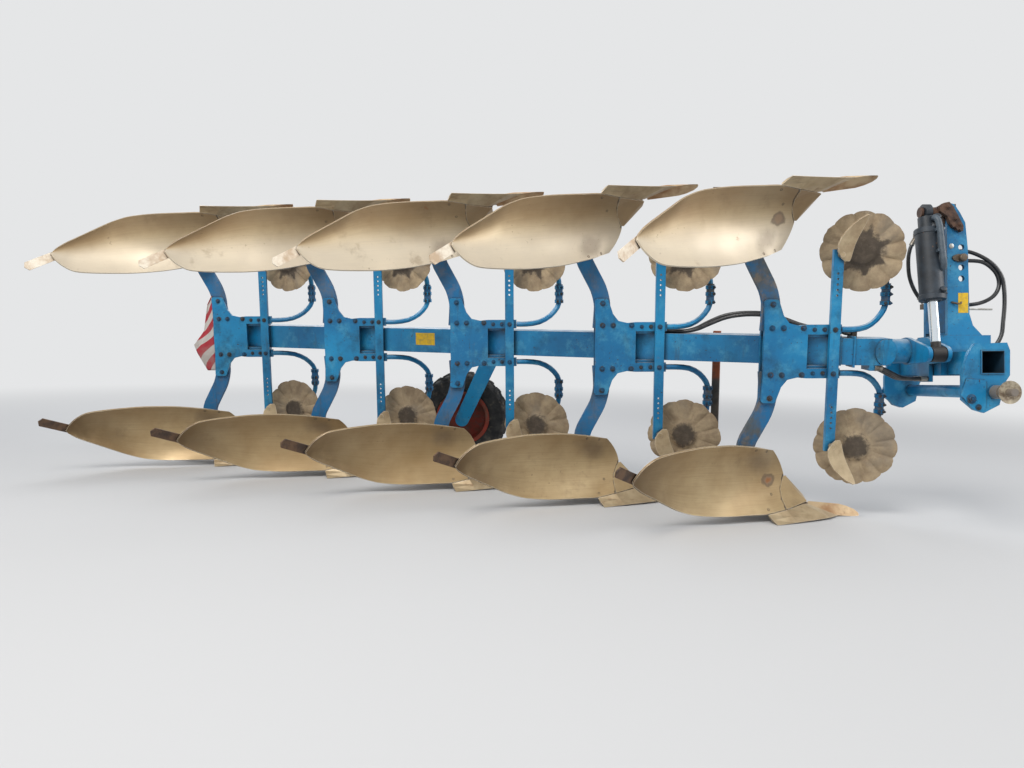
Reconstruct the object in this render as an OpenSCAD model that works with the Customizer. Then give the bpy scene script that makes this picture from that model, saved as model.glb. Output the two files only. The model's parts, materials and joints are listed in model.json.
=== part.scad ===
// Mounted reversible plough: five furrows, upper and lower bodies on one skewed beam.
// Millimetres. X is forward, Y is to the left, Z is up, and the ground is at zero.
// Inside each module z is counted from the beam's middle plane, and the first
// leg's bolts stand at x = 0, y = 0. parked() sets the whole plough on the ground.

/* [Furrows] */
// Number of furrows
furrows = 5; // [2:1:5]
// Distance along the travel from one furrow to the next
step_x = 900; // [850:10:1000]
// Width of one furrow
step_y = 350; // [330:5:400]

/* [Stance] */
// Depth of the share points below the beam's middle plane
tip_drop = 962; // [930:1:1000]
// Depth of the shares' outer corners below the beam's middle plane
heel_drop = 926; // [910:1:929]
// Roll of the headstock against the beam, left side down
headstock_roll = 7.5; // [0:0.5:10]
// First leg ahead of the middle of the plough's outline
centre_x = 1711; // [1200:1:2200]
// First leg to the right of the middle of the plough's outline
centre_y = 541; // [100:1:900]

/* [Beam] */
// Height and width of the square main beam
beam_size = 160; // [140:2:170]
// Wall of the main beam
beam_wall = 10; // [6:1:14]
// Distance of the beam's middle from the leg plates, at the first leg
beam_offset = 200; // [190:1:230]
// Beam's length ahead of the first leg
beam_front = 420; // [400:5:460]
// Beam's length behind the last leg
beam_rear = 120; // [80:5:250]

/* [Leg brackets] */
// Thickness of the bracket plates
bracket_plate = 20; // [14:1:22]
// Half height of a bracket at the leg
bracket_half = 290; // [280:1:310]
// Half height of a bracket beside the beam
bracket_waist = 145; // [140:1:155]
// Thickness of a leg
leg_thick = 35; // [30:1:40]
// Width of a leg
leg_width = 96; // [84:1:104]
// Thickness of the seat plates above and below the beam
seat_plate = 25; // [18:1:30]

/* [Bodies] */
// Thickness of the moldboards
board_thick = 9; // [6:0.5:12]
// Thickness of the shares
share_thick = 11; // [9:0.5:13]
// Thickness of the reversible points
point_thick = 20; // [16:1:22]
// Width of the reversible points
point_width = 80; // [70:1:85]
// Thickness of the frogs
frog_thick = 16; // [12:1:18]
// Thickness of the landsides
landside_thick = 12; // [10:1:15]

/* [Skimmers and coulters] */
// Width of a skimmer stalk
stalk_width = 56; // [44:1:60]
// Thickness of a skimmer stalk
stalk_thick = 25; // [20:1:28]
// Half length of a skimmer stalk
stalk_half = 560; // [540:1:580]
// Diameter of a disc coulter
disc_d = 450; // [430:5:470]
// Thickness of a disc coulter
disc_thick = 5; // [4:0.5:7]
// Number of lobes on a disc coulter
disc_lobes = 12; // [8:1:14]
// Turn of the disc coulters towards the unploughed land
disc_turn = 18; // [10:1:22]
// Diameter of a coulter arm
coulter_rod_d = 34; // [28:1:38]
// Diameter of a coulter spindle
spindle_d = 30; // [24:1:34]

/* [Turnover] */
// Diameter of the turnover journal
journal_d = 110; // [90:2:120]
// Distance of the crank's pin from the turnover axis
crank_r = 201.6; // [190:0.1:210]
// Diameter of the turnover cylinder's barrel
barrel_d = 124; // [110:2:140]
// Diameter of the turnover cylinder's rod
rod_d = 50; // [40:1:60]
// Running clearance of pins and shafts, on the radius
run_gap = 0.05; // [0.02:0.01:0.1]

/* [Hitch] */
// Distance between the shoulders of the lower link pins
hitch_width = 965; // [940:1:980]
// Diameter of the lower link pins
link_pin_d = 36.6; // [36:0.1:37]
// Diameter of the top link pin
top_pin_d = 31.7; // [31:0.1:32]
// Size of the square cross tube
cross_size = 120; // [100:2:130]
// Distance from the shoulders of the lower link pins to the link plates
link_margin = 67.5; // [40:0.5:80]

/* [Depth wheel and stand] */
// Diameter of the depth wheel's tyre
tyre_d = 700; // [660:5:720]
// Width of the depth wheel's tyre
tyre_w = 200; // [180:5:220]
// Size of the parking stand's square tube
stand_size = 44; // [40:2:60]

/* [Hidden] */
$fn = 48;
skew = atan2(step_y, step_x);
seat_gap = 0.3;

// The point's worn corner and the share's outer corner on the first lower body, seen
// from above. The plough leans over until points and corners stand on the ground.
tip_corner = [559, 65];
heel = [-3, -237];
side_of = [sin(skew), cos(skew)];
lean = atan((tip_drop - heel_drop) / ((tip_corner - heel) * side_of));
ground_lift = tip_drop * cos(lean) - (tip_corner * side_of) * sin(lean);

// Sets the plough down on its share points and share corners
module parked()
    translate([centre_x, -centre_y, ground_lift])
    rotate(a = lean, v = [cos(skew), -sin(skew), 0])
    children();

// The headstock hangs on the turnover axis and rolls against the beam
module headstock() parked() rotate([-headstock_roll, 0, 0]) children();

module each_furrow() for (i = [0 : furrows - 1]) translate([-step_x * i, step_y * i, 0]) children();

// Child modules are drawn for the lower row; the upper row is their mirror image
module row(upper) mirror([0, 0, upper ? 1 : 0]) children();

function unit(v) = v / norm(v);
function beam_y(x) = beam_offset - (x - 80) * tan(skew);

// Points of a smooth curve through the given points
function spline_at(p, i, t) =
    let (a = p[max(i - 1, 0)], b = p[i], c = p[i + 1], d = p[min(i + 2, len(p) - 1)])
    0.5 * (2 * b + (c - a) * t + (2 * a - 5 * b + 4 * c - d) * t * t + (3 * b - a - 3 * c + d) * t * t * t);
function smooth(p, steps) = [
    for (i = [0 : len(p) - 2], k = [0 : steps - 1]) spline_at(p, i, k / steps),
    p[len(p) - 1]
];

// Round bar swept along a path; up must not run along the path
module sweep(path, r, up = [0, 1, 0], sides = 10) {
    last = len(path) - 1;
    rings = [for (i = [0 : last])
        let (t = unit(path[min(i + 1, last)] - path[max(i - 1, 0)]), u = unit(cross(t, up)),
            v = cross(t, u))
        for (k = [0 : sides - 1]) path[i] + r * (u * cos(360 * k / sides) + v * sin(360 * k / sides))];
    walls = [for (i = [0 : last - 1], k = [0 : sides - 1])
        let (a = i * sides + k, b = i * sides + (k + 1) % sides)
        [a, a + sides, b + sides, b]];
    polyhedron(rings, concat([[for (k = [0 : sides - 1]) k]], walls,
        [[for (k = [sides - 1 : -1 : 0]) last * sides + k]]));
}

// Straight round bar between two points
module bar(a, b, r) {
    d = b - a;
    translate(a)
        rotate([0, acos(d.z / norm(d)), atan2(d.y, d.x)])
        cylinder(r = r, h = norm(d));
}

// Curved plate of even thickness behind a grid of points
function plate_normal(g, i, j) =
    let (u = g[min(i + 1, len(g) - 1)][j] - g[max(i - 1, 0)][j],
        v = g[i][min(j + 1, len(g[0]) - 1)] - g[i][max(j - 1, 0)])
    unit(cross(u, v));
module plate(g, thick, edge = 1) {
    m = len(g);
    n = len(g[0]);
    front = [for (i = [0 : m - 1], j = [0 : n - 1]) g[i][j]];
    back = [for (i = [0 : m - 1], j = [0 : n - 1]) g[i][j] + thick * (j == 0 ? edge : 1)
        * plate_normal(g, i, j)];
    s = m * n;
    polyhedron(concat(front, back), concat(
        [for (i = [0 : m - 2], j = [0 : n - 2], k = [0, 1])
            let (a = i * n + j) k == 0 ? [a, a + n + 1, a + 1] : [a, a + n, a + n + 1]],
        [for (i = [0 : m - 2], j = [0 : n - 2], k = [0, 1])
            let (a = s + i * n + j) k == 0 ? [a, a + 1, a + n + 1] : [a, a + n + 1, a + n]],
        [for (i = [0 : m - 2], k = [0, 1])
            let (a = i * n) k == 0 ? [a, a + n + s, a + n] : [a, a + s, a + n + s]],
        [for (i = [0 : m - 2], k = [0, 1])
            let (a = i * n + n - 1) k == 0 ? [a, a + n, a + n + s] : [a, a + n + s, a + s]],
        [for (j = [0 : n - 2], k = [0, 1]) k == 0 ? [j, j + 1 + s, j + s] : [j, j + 1, j + 1 + s]],
        [for (j = [0 : n - 2], k = [0, 1])
            let (a = (m - 1) * n + j) k == 0 ? [a, a + s, a + 1 + s] : [a, a + 1 + s, a + 1]]));
}

// Stations along the moldboard from its front to its tail. Columns: lower edge x, y,
// drop, upper edge x, y, drop, and how far the middle bows back, in x and in y.
board_stations = [
    [75, -135, 865, 35, 0, 560, 60, 110],
    [-32, -161, 883, -54, -95, 531, 38, 100],
    [-134, -195, 879, -155, -168, 506, 12, 88],
    [-226, -228, 874, -255, -240, 485, 0, 80],
    [-314, -258, 868, -352, -307, 473, -8, 72],
    [-401, -280, 859, -446, -365, 466, -14, 66],
    [-482, -300, 845, -539, -431, 465, -20, 60],
    [-567, -335, 811, -633, -500, 467, -22, 50],
    [-649, -400, 757, -718, -555, 476, -22, 38],
    [-724, -462, 706, -775, -577, 505, -18, 25],
    [-795, -525, 656, -818, -590, 545, -10, 12],
    [-846, -575, 608, -848, -592, 588, 0, 2]
];
board_rows = 7;
function board_at(s, v) =
    let (low = [s[0], s[1], -s[2]], high = [s[3], s[4], -s[5]])
    low * (1 - v) + high * v + [s[6], s[7], 0] * 4 * v * (1 - v);
// The front edge is the seam to the shin: below the shin's top it curves back along the board
shin_top = 0.5;
seam_pull = 0.34;
function seam_at(v) =
    let (front = board_at(board_stations[0], v),
        pull = v < shin_top ? seam_pull * sin(180 * v / shin_top) : 0)
    front + pull * (board_at(board_stations[1], v) - front);
board_grid = [for (i = [0 : len(board_stations) - 1]) [for (j = [0 : board_rows])
    i == 0 ? seam_at(j / board_rows) : board_at(board_stations[i], j / board_rows)]];

// The shin continues the moldboard's front to the landside, from its foot to a point
shin_rows = 3;
joint_gap = 4;
shin_levels = concat([for (j = [0 : shin_rows]) j / (board_rows * shin_top)], [0.96]);
shin_foot = [[238, 62, -836], [236, -8, -856], [156, -72, -862], board_at(board_stations[0], 0)
    + [joint_gap, 0, 0]];
shin_head = board_at(board_stations[0], shin_top) + [6, 2, 0];
function shin_at(k, w) =
    let (seam = seam_at(shin_top * w) + [joint_gap, 0, 0],
        bow = seam - shin_foot[3] * (1 - w) - (board_at(board_stations[0], shin_top)
            + [joint_gap, 0, 0]) * w)
    shin_foot[k] * (1 - w) + (shin_head * (1 - k / 3) + (shin_head - [5, 2, 0]) * k / 3) * w + bow * k / 3;
shin_grid = [for (k = [0 : 3]) [for (w = shin_levels) shin_at(k, w)]];

// The share's cutting edge and its seam, front to heel. Columns: edge x, y, drop, seam x, y, drop
share_stations = [
    [425, 9, 949, 236, -12, 869],
    [350, -66, 938, 205, -38, 864],
    [250, -124, 932, 155, -75, 866],
    [120, -186, 928, 75, -139, 869],
    [heel.x, heel.y, heel_drop, -34, -165, 888]
];
share_edge = 0.2;
share_grid = [for (s = share_stations) [for (j = [0 : 2])
    [s[0], s[1], share_edge * share_thick - s[2]] * (1 - j / 2) + [s[3], s[4], -s[5]] * (j / 2)]];

module moldboards(upper) color("tan") parked() row(upper) each_furrow() plate(board_grid, board_thick);
module shins(upper) color("tan") parked() row(upper) each_furrow() plate(shin_grid, board_thick);
module shares(upper) color("tan") parked() row(upper) each_furrow() plate(share_grid, share_thick, share_edge);

// Reversible point: a flat bar from its seat on the frog down to the share's tip, rolled
// towards the share. Its nose is worn round and its sole is worn flat on the ground.
point_root = [262, 29, -912];
point_nose = [560, 79, -954];
point_run = point_nose - point_root;
point_length = norm(point_run);
point_yaw = atan2(point_run.y, point_run.x);
point_pitch = asin(-point_run.z / point_length);
point_roll = 42;
point_notch = 14;
nose_outline = [[-36, -1], [-12, -0.9], [0, -0.6], [-2, -0.2], [-22, 0.3], [-62, 0.75], [-110, 1]];
module at_point()
    translate(point_nose) rotate([0, 0, point_yaw]) rotate([0, point_pitch, 0]) rotate([point_roll, 0, 0])
        children();
// Everything below the ground that the parked plough stands on
module under_ground()
    rotate(a = -lean, v = [cos(skew), -sin(skew), 0]) translate([0, -200, -ground_lift - 100])
        cube([900, 600, 100]);
module points(upper)
    color("dimgray") parked() row(upper) each_furrow() difference() {
        at_point() linear_extrude(point_thick)
            polygon(concat([for (p = nose_outline) [p.x, p.y * point_width / 2]],
                [for (p = [[0, 1], [-point_notch, 0], [0, -1]])
                    [p.x - point_length, p.y * point_width / 2]]));
        under_ground();
    }

// Bar that lengthens the moldboard behind its tail, bolted flat on the board's back
ext_end = [-958, -712, -496];
ext_station = 10;
ext_row = 4;
ext_thick = 8;
ext_half = 28;
ext_ahead = 130;
module extensions(upper)
    color("dimgray") parked() row(upper) each_furrow() {
        n = plate_normal(board_grid, ext_station, ext_row);
        seat = board_grid[ext_station][ext_row] + n * (board_thick + seat_gap);
        reach = ext_end - seat - n * ((ext_end - seat) * n);
        length = norm(reach);
        along = reach / length;
        wide = cross(n, along);
        front = [for (p = [[-ext_ahead, -1], [length - 18, -1], [length, 0], [length - 18, 1],
            [-ext_ahead, 1]])
            seat + along * p[0] + wide * p[1] * ext_half];
        polyhedron(concat(front, [for (p = front) p + n * ext_thick]),
            [[0, 1, 2, 3, 4], [9, 8, 7, 6, 5], [0, 5, 6, 1], [1, 6, 7, 2], [2, 7, 8, 3],
                [3, 8, 9, 4], [4, 9, 5, 0]]);
    }

// Leg: a flat bar that sweeps back and then hooks forward under the body
leg_path = [[-8, -112], [-2, -200], [-2, -265], [-24, -350], [-70, -440], [-112, -530], [-112, -630],
    [-70, -720]];
leg_near = 13;
leg_far = leg_near + leg_thick;
module leg_profile() {
    curve = smooth(leg_path, 3);
    last = len(curve) - 1;
    side = [for (i = [0 : last])
        let (t = unit(curve[min(i + 1, last)] - curve[max(i - 1, 0)])) [-t.y, t.x] * leg_width / 2];
    polygon(concat([for (i = [0 : last]) curve[i] + side[i]],
        [for (i = [last : -1 : 0]) curve[i] - side[i]]));
}
module legs(upper)
    color("steelblue") parked() row(upper) each_furrow()
        translate([0, leg_far, 0]) rotate([90, 0, 0]) linear_extrude(leg_thick) leg_profile();

// Frog: carries the share, the point, the shin, the moldboard and the landside
frog_near = leg_far;
frog_far = frog_near + frog_thick;
frog_outline = [[-165, -610], [-60, -600], [40, -640], [84, -680], [112, -725], [150, -775], [205, -836],
    [240, -870], [240, -880], [350, -890], [350, -934], [230, -934], [150, -902], [-60, -902],
        [-150, -820]];
// Stays between the frog and the backs of the boards. Columns: board, its grid's row
// along and across, length of the foot square to the board, radius, end on the frog
board_stays = [
    [0, 0, 3, 20, 14, [50, 52, -715]],
    [0, 0, 1, 30, 14, [40, 52, -870]],
    [0, 3, 3, 40, 14, [-140, 52, -800]],
    [1, 1, 1, 16, 8, [150, 52, -850]],
    [2, 1, 1, 14, 9, [205, 56, -872]]
];
foot_flange = 5;
function stay_grid(b) = b == 0 ? board_grid : b == 1 ? shin_grid : share_grid;
function stay_skin(b) = b == 2 ? share_thick : board_thick;
module frogs(upper)
    color("dimgray") parked() row(upper) each_furrow() {
        difference() {
            translate([0, frog_far, 0]) rotate([90, 0, 0]) linear_extrude(frog_thick) polygon(frog_outline);
            at_point() translate([-point_length - 2 * point_notch, -point_width, -seat_gap])
                cube([point_length, 2 * point_width, 60]);
        }
        for (s = board_stays) {
            back = [for (d = [[0, 0], [0, 1], [1, 1]])
                stay_grid(s[0])[s[1] + d[0]][s[2] + d[1]]
                + stay_skin(s[0]) * plate_normal(stay_grid(s[0]), s[1] + d[0], s[2] + d[1])];
            n = unit(cross(back[2] - back[1], back[1] - back[0]));
            foot = (back[0] + back[1] + back[2]) / 3;
            bar(foot + n * seat_gap, foot + n * s[3], s[4] + foot_flange);
            bar(foot + n * (s[3] - foot_flange), s[5], s[4]);
        }
    }

module landsides(upper)
    color("saddlebrown") parked() row(upper) each_furrow()
        translate([0, frog_far + landside_thick, 0])
        rotate([90, 0, 0])
        linear_extrude(landside_thick)
        polygon([[-330, -905], [-330, -835], [-310, -820], [140, -820], [225, -905]]);

module main_beam() {
    front_x = beam_front;
    rear_x = -step_x * (furrows - 1) - beam_rear;
    run = (front_x - rear_x) / cos(skew);
    color("steelblue") parked()
        translate([front_x, beam_y(front_x), 0])
        rotate([0, 0, -skew])
        translate([-run, -beam_size / 2, -beam_size / 2])
        difference() {
            cube([run, beam_size, beam_size]);
            translate([-1, beam_wall, beam_wall])
                cube([run - 20, beam_size - 2 * beam_wall, beam_size - 2 * beam_wall]);
        }
}

bracket_right = 385;
bracket_arm_low = 95;
module bracket_outline() {
    half = [[bracket_right, bracket_arm_low], [bracket_right, 150], [200, 150], [150, bracket_waist],
        [95, 158], [62, 200], [45, 250], [34, bracket_half - 8], [24, bracket_half],
        [-36, bracket_half], [-48, bracket_half - 12], [-42, 120], [-45, 0]];
    difference() {
        polygon(concat(half, [for (i = [len(half) - 2 : -1 : 0]) [half[i].x, -half[i].y]],
            [[200, -bracket_arm_low], [200, bracket_arm_low]]));
        for (s = [-1, 1], x = [0, 63, 174]) translate([x, s * 131]) circle(d = 22);
    }
}
module leg_brackets()
    color("steelblue") parked() each_furrow() {
        translate([0, leg_near, 0]) rotate([90, 0, 0]) linear_extrude(bracket_plate) bracket_outline();
        translate([0, leg_far + bracket_plate, 0])
            rotate([90, 0, 0])
            linear_extrude(bracket_plate)
            polygon([[-45, -bracket_half], [30, -bracket_half], [45, -200], [45, 200], [30, bracket_half],
                [-45, bracket_half]]);
        for (s = [0, 1]) mirror([0, 0, s])
            translate([0, 0, beam_size / 2])
            linear_extrude(seat_plate)
            polygon([[50, leg_near], [330, leg_near], [330, 150], [240, 260], [120, 330], [46, 330],
                [46, leg_near]]);
    }

// Skimmer stalk with its rows of adjusting holes, clamped on the brackets' arms
stalk_x = 340;
stalk_far = leg_near - bracket_plate;
module skimmer_stalks()
    color("steelblue") parked() each_furrow()
        translate([stalk_x, stalk_far, 0])
        rotate([90, 0, 0])
        linear_extrude(stalk_thick)
        difference() {
            square([stalk_width, 2 * stalk_half], center = true);
            for (s = [-1, 1], k = [0 : 4]) translate([0, s * (stalk_half - 130 - 30 * k)]) circle(d = 12);
        }

// Skimmer plate from its foot to its tip. Columns: right edge x, y, z, left edge x, y, z
skim_sections = [
    [390, -50, -495, 362, -52, -495],
    [398, -50, -512, 340, -60, -512],
    [405, -52, -545, 318, -72, -545],
    [414, -54, -582, 314, -82, -582],
    [429, -56, -620, 326, -90, -620],
    [444, -58, -652, 347, -92, -652],
    [460, -60, -685, 380, -90, -685],
    [474, -62, -716, 419, -86, -716],
    [481, -66, -741, 469, -74, -741]
];
module skimmers(upper)
    color("tan") parked() row(upper) each_furrow() {
        plate([for (s = skim_sections) [for (j = [0 : 3])
            [s[0], s[1], s[2]] * (1 - j / 3) + [s[3], s[4], s[5]] * (j / 3)]], 8);
        translate([stalk_x + 6, stalk_far - stalk_thick - seat_gap, -530]) rotate([90, 0, 0])
            cylinder(r = 14, h = 34);
    }

// Coulter arm: from the bracket's arm forward to the swivel, and from there to the hub
hub_centre = [516, 49, -551];
upper_shift = -15;
function hub_at(upper) = hub_centre + [upper ? upper_shift : 0, 0, 0];
hub_axis = [sin(disc_turn), cos(disc_turn), 0];
swivel = [665, 92, -250];
arm_route = [[bracket_right + 1.5, 3, -122], [450, 3, -122], [535, 30, -134], [606, 65, -172],
    [653, 86, -225], [swivel.x, swivel.y, -262]];
stem_route = [[swivel.x, swivel.y, -350], [663, 96, -395], [648, 104, -440], [608, 112, -500]];
hub_reach = 62;
module coulter_arms(upper)
    color("steelblue") parked() row(upper) each_furrow() {
        sweep(smooth(arm_route, 2), coulter_rod_d / 2, sides = 8);
        translate([swivel.x, swivel.y, -365]) cylinder(d = 44, h = 110);
        for (z = [-365, -325, -275]) translate([swivel.x, swivel.y, z]) cylinder(d = 58, h = 22);
        hub = hub_at(upper);
        end = hub + hub_axis * hub_reach;
        sweep(smooth(concat(stem_route, [end + hub_axis * 13]), 2), coulter_rod_d / 2, sides = 8);
        bar(end, end + hub_axis * 26, 30);
        bar(hub + hub_axis * 8, end + hub_axis, spindle_d / 2);
    }

// Disc coulter with its hub, one for each furrow and row
module disc_coulter(i, upper)
    color("tan") parked() row(upper)
        translate([-step_x * (i - 1), step_y * (i - 1), 0])
        translate(hub_at(upper))
        rotate([0, 0, -disc_turn])
        rotate([-90, 0, 0])
        difference() {
            union() {
                linear_extrude(disc_thick) difference() {
                    circle(d = disc_d, $fn = 96);
                    for (k = [0 : disc_lobes - 1])
                        rotate(360 * (k + 0.5) / disc_lobes) translate([disc_d / 2 + 22, 0]) circle(r = 32);
                }
                translate([0, 0, -18]) cylinder(d = 150, h = 18.5);
                translate([0, 0, disc_thick - 0.5]) cylinder(d = 92, h = 52);
            }
            translate([0, 0, 6]) cylinder(d = spindle_d + 2 * run_gap, h = 80);
        }

// Front carrier: welded on the beam's front end, with round nosed sides and the turnover tube
turn_tube_r = 68;
carrier_half = 74;
carrier_front = 640;
flange_x = 440;
bundle_start = 560;
bundle_depth = 154;
function carrier_back(s) = [beam_front, beam_y(beam_front)] + s * beam_size / 2 * [sin(skew), cos(skew)]
    + seat_gap * [cos(skew), -sin(skew)];
module front_carrier()
    color("steelblue") parked() {
        translate([0, 0, -carrier_half]) linear_extrude(2 * carrier_half)
            polygon([carrier_back(-1), [flange_x, -36], [carrier_front, -68], [carrier_front, 68],
                [500, 130], carrier_back(1)]);
        translate([flange_x, -48, -86]) cube([10, 96, 172]);
        translate([carrier_front - 30, -70, 0]) rotate([-90, 0, 0]) scale([0.8, 1, 1])
            cylinder(r = carrier_half - 2, h = 140);
        translate([carrier_front, 0, 0]) rotate([0, 90, 0])
            cylinder(r = turn_tube_r, h = cheek_rear - carrier_front);
        translate([bundle_start - 30, -52, -104]) cube([28, 104, 104 - carrier_half + 2]);
    }

// Crank: two cheeks with the cylinder rod's eye between them, and the front journal
cheek_rear = 750;
cheek_thick = 22;
slot_half = 40;
slot_x = cheek_rear + cheek_thick + slot_half;
cheek_front = slot_x + slot_half;
journal_end = 1060;
crank_angle = 187.1;
bundle_half = 50;
bundle_edge = 18;
module cheek()
    hull() {
        circle(r = 76);
        rotate(crank_angle) translate([crank_r, 0]) circle(r = 42);
        rotate(crank_angle + 180) translate([120, 0]) circle(r = 50);
    }
module across(x) translate([x, 0, 0]) rotate([90, 0, 90]) children();
module turn_crank()
    color("steelblue") headstock() {
        across(cheek_rear) linear_extrude(cheek_thick) cheek();
        across(cheek_front) linear_extrude(cheek_thick) cheek();
        across(cheek_rear) rotate(crank_angle + 180) translate([120, 0])
            cylinder(r = 42, h = cheek_front - cheek_rear + 4);
        translate([cheek_front, -bundle_half, -bundle_depth - bundle_edge])
            cube([cheek_thick, 2 * bundle_half, bundle_depth]);
        across(cheek_front + cheek_thick - 1) cylinder(d = journal_d,
            h = journal_end - cheek_front - cheek_thick + 1);
    }

// Turnover cylinder, hung at the tower's top; its rod's eye is open at the crank's pin
cylinder_top = [-96, 750];
crank_pin = crank_r * [cos(crank_angle), sin(crank_angle)];
cylinder_run = crank_pin - cylinder_top;
cylinder_length = norm(cylinder_run);
cylinder_tilt = atan2(cylinder_run[0], -cylinder_run[1]);
barrel_length = 490;
barrel_head = 94;
piston_top = 320;
piston_length = 40;
anchor_pin_d = 40;
module along_cylinder()
    headstock() translate([slot_x, cylinder_top[0], cylinder_top[1]]) rotate([cylinder_tilt, 0, 0])
        children();
module cylinder_barrel()
    color([0.12, 0.12, 0.13]) along_cylinder()
        difference() {
            union() {
                rotate([0, 90, 0]) cylinder(d = 88, h = 36, center = true);
                translate([0, 0, -barrel_length]) cylinder(d = barrel_d, h = barrel_length - barrel_head);
                translate([0, 0, -barrel_head - 10]) cylinder(d = 84, h = barrel_head - 20);
            }
            rotate([0, 90, 0]) cylinder(d = anchor_pin_d + 2 * run_gap, h = 60, center = true);
            translate([0, 0, -barrel_length + 40])
                cylinder(d = barrel_d - 20, h = barrel_length - barrel_head - 56);
            translate([0, 0, -barrel_length - 1]) cylinder(d = rod_d + 2 * run_gap, h = 80);
        }
module cylinder_rod()
    color("silver") along_cylinder() {
        translate([0, 0, -cylinder_length + 10])
            cylinder(d = rod_d, h = cylinder_length - piston_top - piston_length / 2 - 10);
        translate([0, 0, -piston_top - piston_length])
            cylinder(d = barrel_d - 20 - 2 * run_gap, h = piston_length);
        translate([0, 0, -cylinder_length]) rotate([0, 90, 0])
            cylinder(d = 84, h = 2 * slot_half - 10, center = true);
        translate([0, 0, -cylinder_length]) rotate([0, 90, 0])
            cylinder(d = 38, h = 2 * slot_half - 6, center = true);
    }

// Headstock tower: two side plates joined by cross webs
tower_rear = 915;
tower_half = 120;
tower_plate = 20;
tower_outline = [[tower_rear, 80], [1103, 80], [1054, 133], [1035, 196], [1028, 540], [1014, 690],
    [985, 745], [955, 790], [tower_rear, 800]];
top_hole_x = 992;
top_holes = [387, 447, 498, 556];
module tower()
    color("steelblue") headstock()
        for (s = [0, 1]) mirror([0, s, 0])
            translate([0, tower_half, 0])
            rotate([90, 0, 0])
            linear_extrude(tower_plate)
            difference() {
                polygon(tower_outline);
                for (z = top_holes) translate([top_hole_x, z]) circle(d = top_pin_d + 0.8);
            }
module cylinder_anchor()
    color("saddlebrown") headstock() {
        inner = tower_half - tower_plate;
        translate([tower_rear - 10, -inner, 690]) cube([70, 2 * inner, 105]);
        translate([tower_rear, -inner, 100]) cube([20, 2 * inner, 560]);
        across(slot_x - 30) translate(cylinder_top)
            cylinder(d = anchor_pin_d, h = tower_rear - slot_x + 30);
        across(slot_x + 20) translate(cylinder_top) cylinder(d = 56, h = tower_rear - slot_x - 20);
        across(slot_x - 34) translate(cylinder_top) cylinder(d = 56, h = 12);
    }
module top_link_pin()
    color("dimgray") headstock()
        translate([top_hole_x, tower_half + 30, top_holes[2]]) rotate([90, 0, 0])
            cylinder(d = top_pin_d, h = 2 * tower_half + 60);

housing_half = 120;
housing_top = 80;
housing_bottom = -138;
module bearing_housing()
    color("steelblue") headstock()
        difference() {
            translate([cheek_front + cheek_thick + 5, -housing_half, housing_bottom])
                cube([1150 - cheek_front - cheek_thick - 5, 2 * housing_half,
                    housing_top - housing_bottom]);
            across(cheek_front) cylinder(d = journal_d + 2 * run_gap, h = journal_end - cheek_front + 4);
        }

cross_x = 975;
cross_z = -73;
cross_wall = 6;
link_half = hitch_width / 2 - link_margin;
link_plate = 22;
module cross_tube()
    color("steelblue") headstock()
        for (s = [0, 1]) mirror([0, s, 0])
            translate([cross_x - cross_size / 2, housing_half, cross_z - cross_size / 2])
            difference() {
                cube([cross_size, link_half - housing_half + 6, cross_size]);
                translate([cross_wall, -1, cross_wall])
                    cube([cross_size - 2 * cross_wall, link_half, cross_size - 2 * cross_wall]);
            }

link_outline = [[884, 21], [1049, 25], [1064, -15], [1063, -140], [1036, -180], [1010, -289], [932, -329],
    [882, -314], [823, -263], [823, -139], [848, -39]];
link_layer = [[812, -238], [842, -154], [940, -164], [940, -289], [926, -329], [876, -313]];
link_layer_thick = 6;
link_x = 985;
link_z = -224;
ball_d = 64;
ball_width = 46;
link_pin_end = 46;
link_shaft_d = 68;
ring_groove = 3;
module link_plates()
    color("steelblue") headstock() {
        for (s = [0, 1]) mirror([0, s, 0])
            translate([0, link_half, 0])
            rotate([90, 0, 0])
            linear_extrude(link_plate)
            difference() {
                polygon(link_outline);
                translate([cross_x, cross_z]) square(cross_size, center = true);
                translate([link_x, link_z]) circle(d = link_shaft_d);
            }
        for (s = [0, 1]) mirror([0, s, 0])
            translate([0, link_half + link_layer_thick, 0])
            rotate([90, 0, 0])
            linear_extrude(link_layer_thick)
            polygon(link_layer);
    }
module lower_link_shaft()
    color("steelblue") headstock() translate([link_x, 0, link_z]) rotate([90, 0, 0])
        difference() {
            union() {
                cylinder(d = link_shaft_d, h = hitch_width, center = true);
                cylinder(d = link_pin_d, h = hitch_width + 2 * (ball_width + link_pin_end), center = true);
            }
            for (s = [0, 1]) mirror([0, 0, s])
                translate([0, 0, hitch_width / 2 + ball_width + 1])
                rotate_extrude()
                translate([link_pin_d / 2 - 1.5, 0])
                square([10, ring_groove]);
        }
// Hitch balls with their guide cones, pushed onto the lower link pins
module link_balls()
    color("dimgray") headstock() for (s = [0, 1]) mirror([0, s, 0])
        translate([link_x, hitch_width / 2, link_z])
        rotate([-90, 0, 0])
        rotate_extrude($fn = 64)
        polygon(concat([[link_pin_d / 2 + run_gap, 0], [25, 0]],
            [for (a = [-50 : 20 : 30]) [ball_d / 2 * cos(a) + 6, ball_width / 2 + ball_d / 2 * sin(a)
                * 0.9]],
            [[30, 43], [56, 50], [57, 54], [30, 48], [26, ball_width],
                [link_pin_d / 2 + run_gap, ball_width]]));

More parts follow.
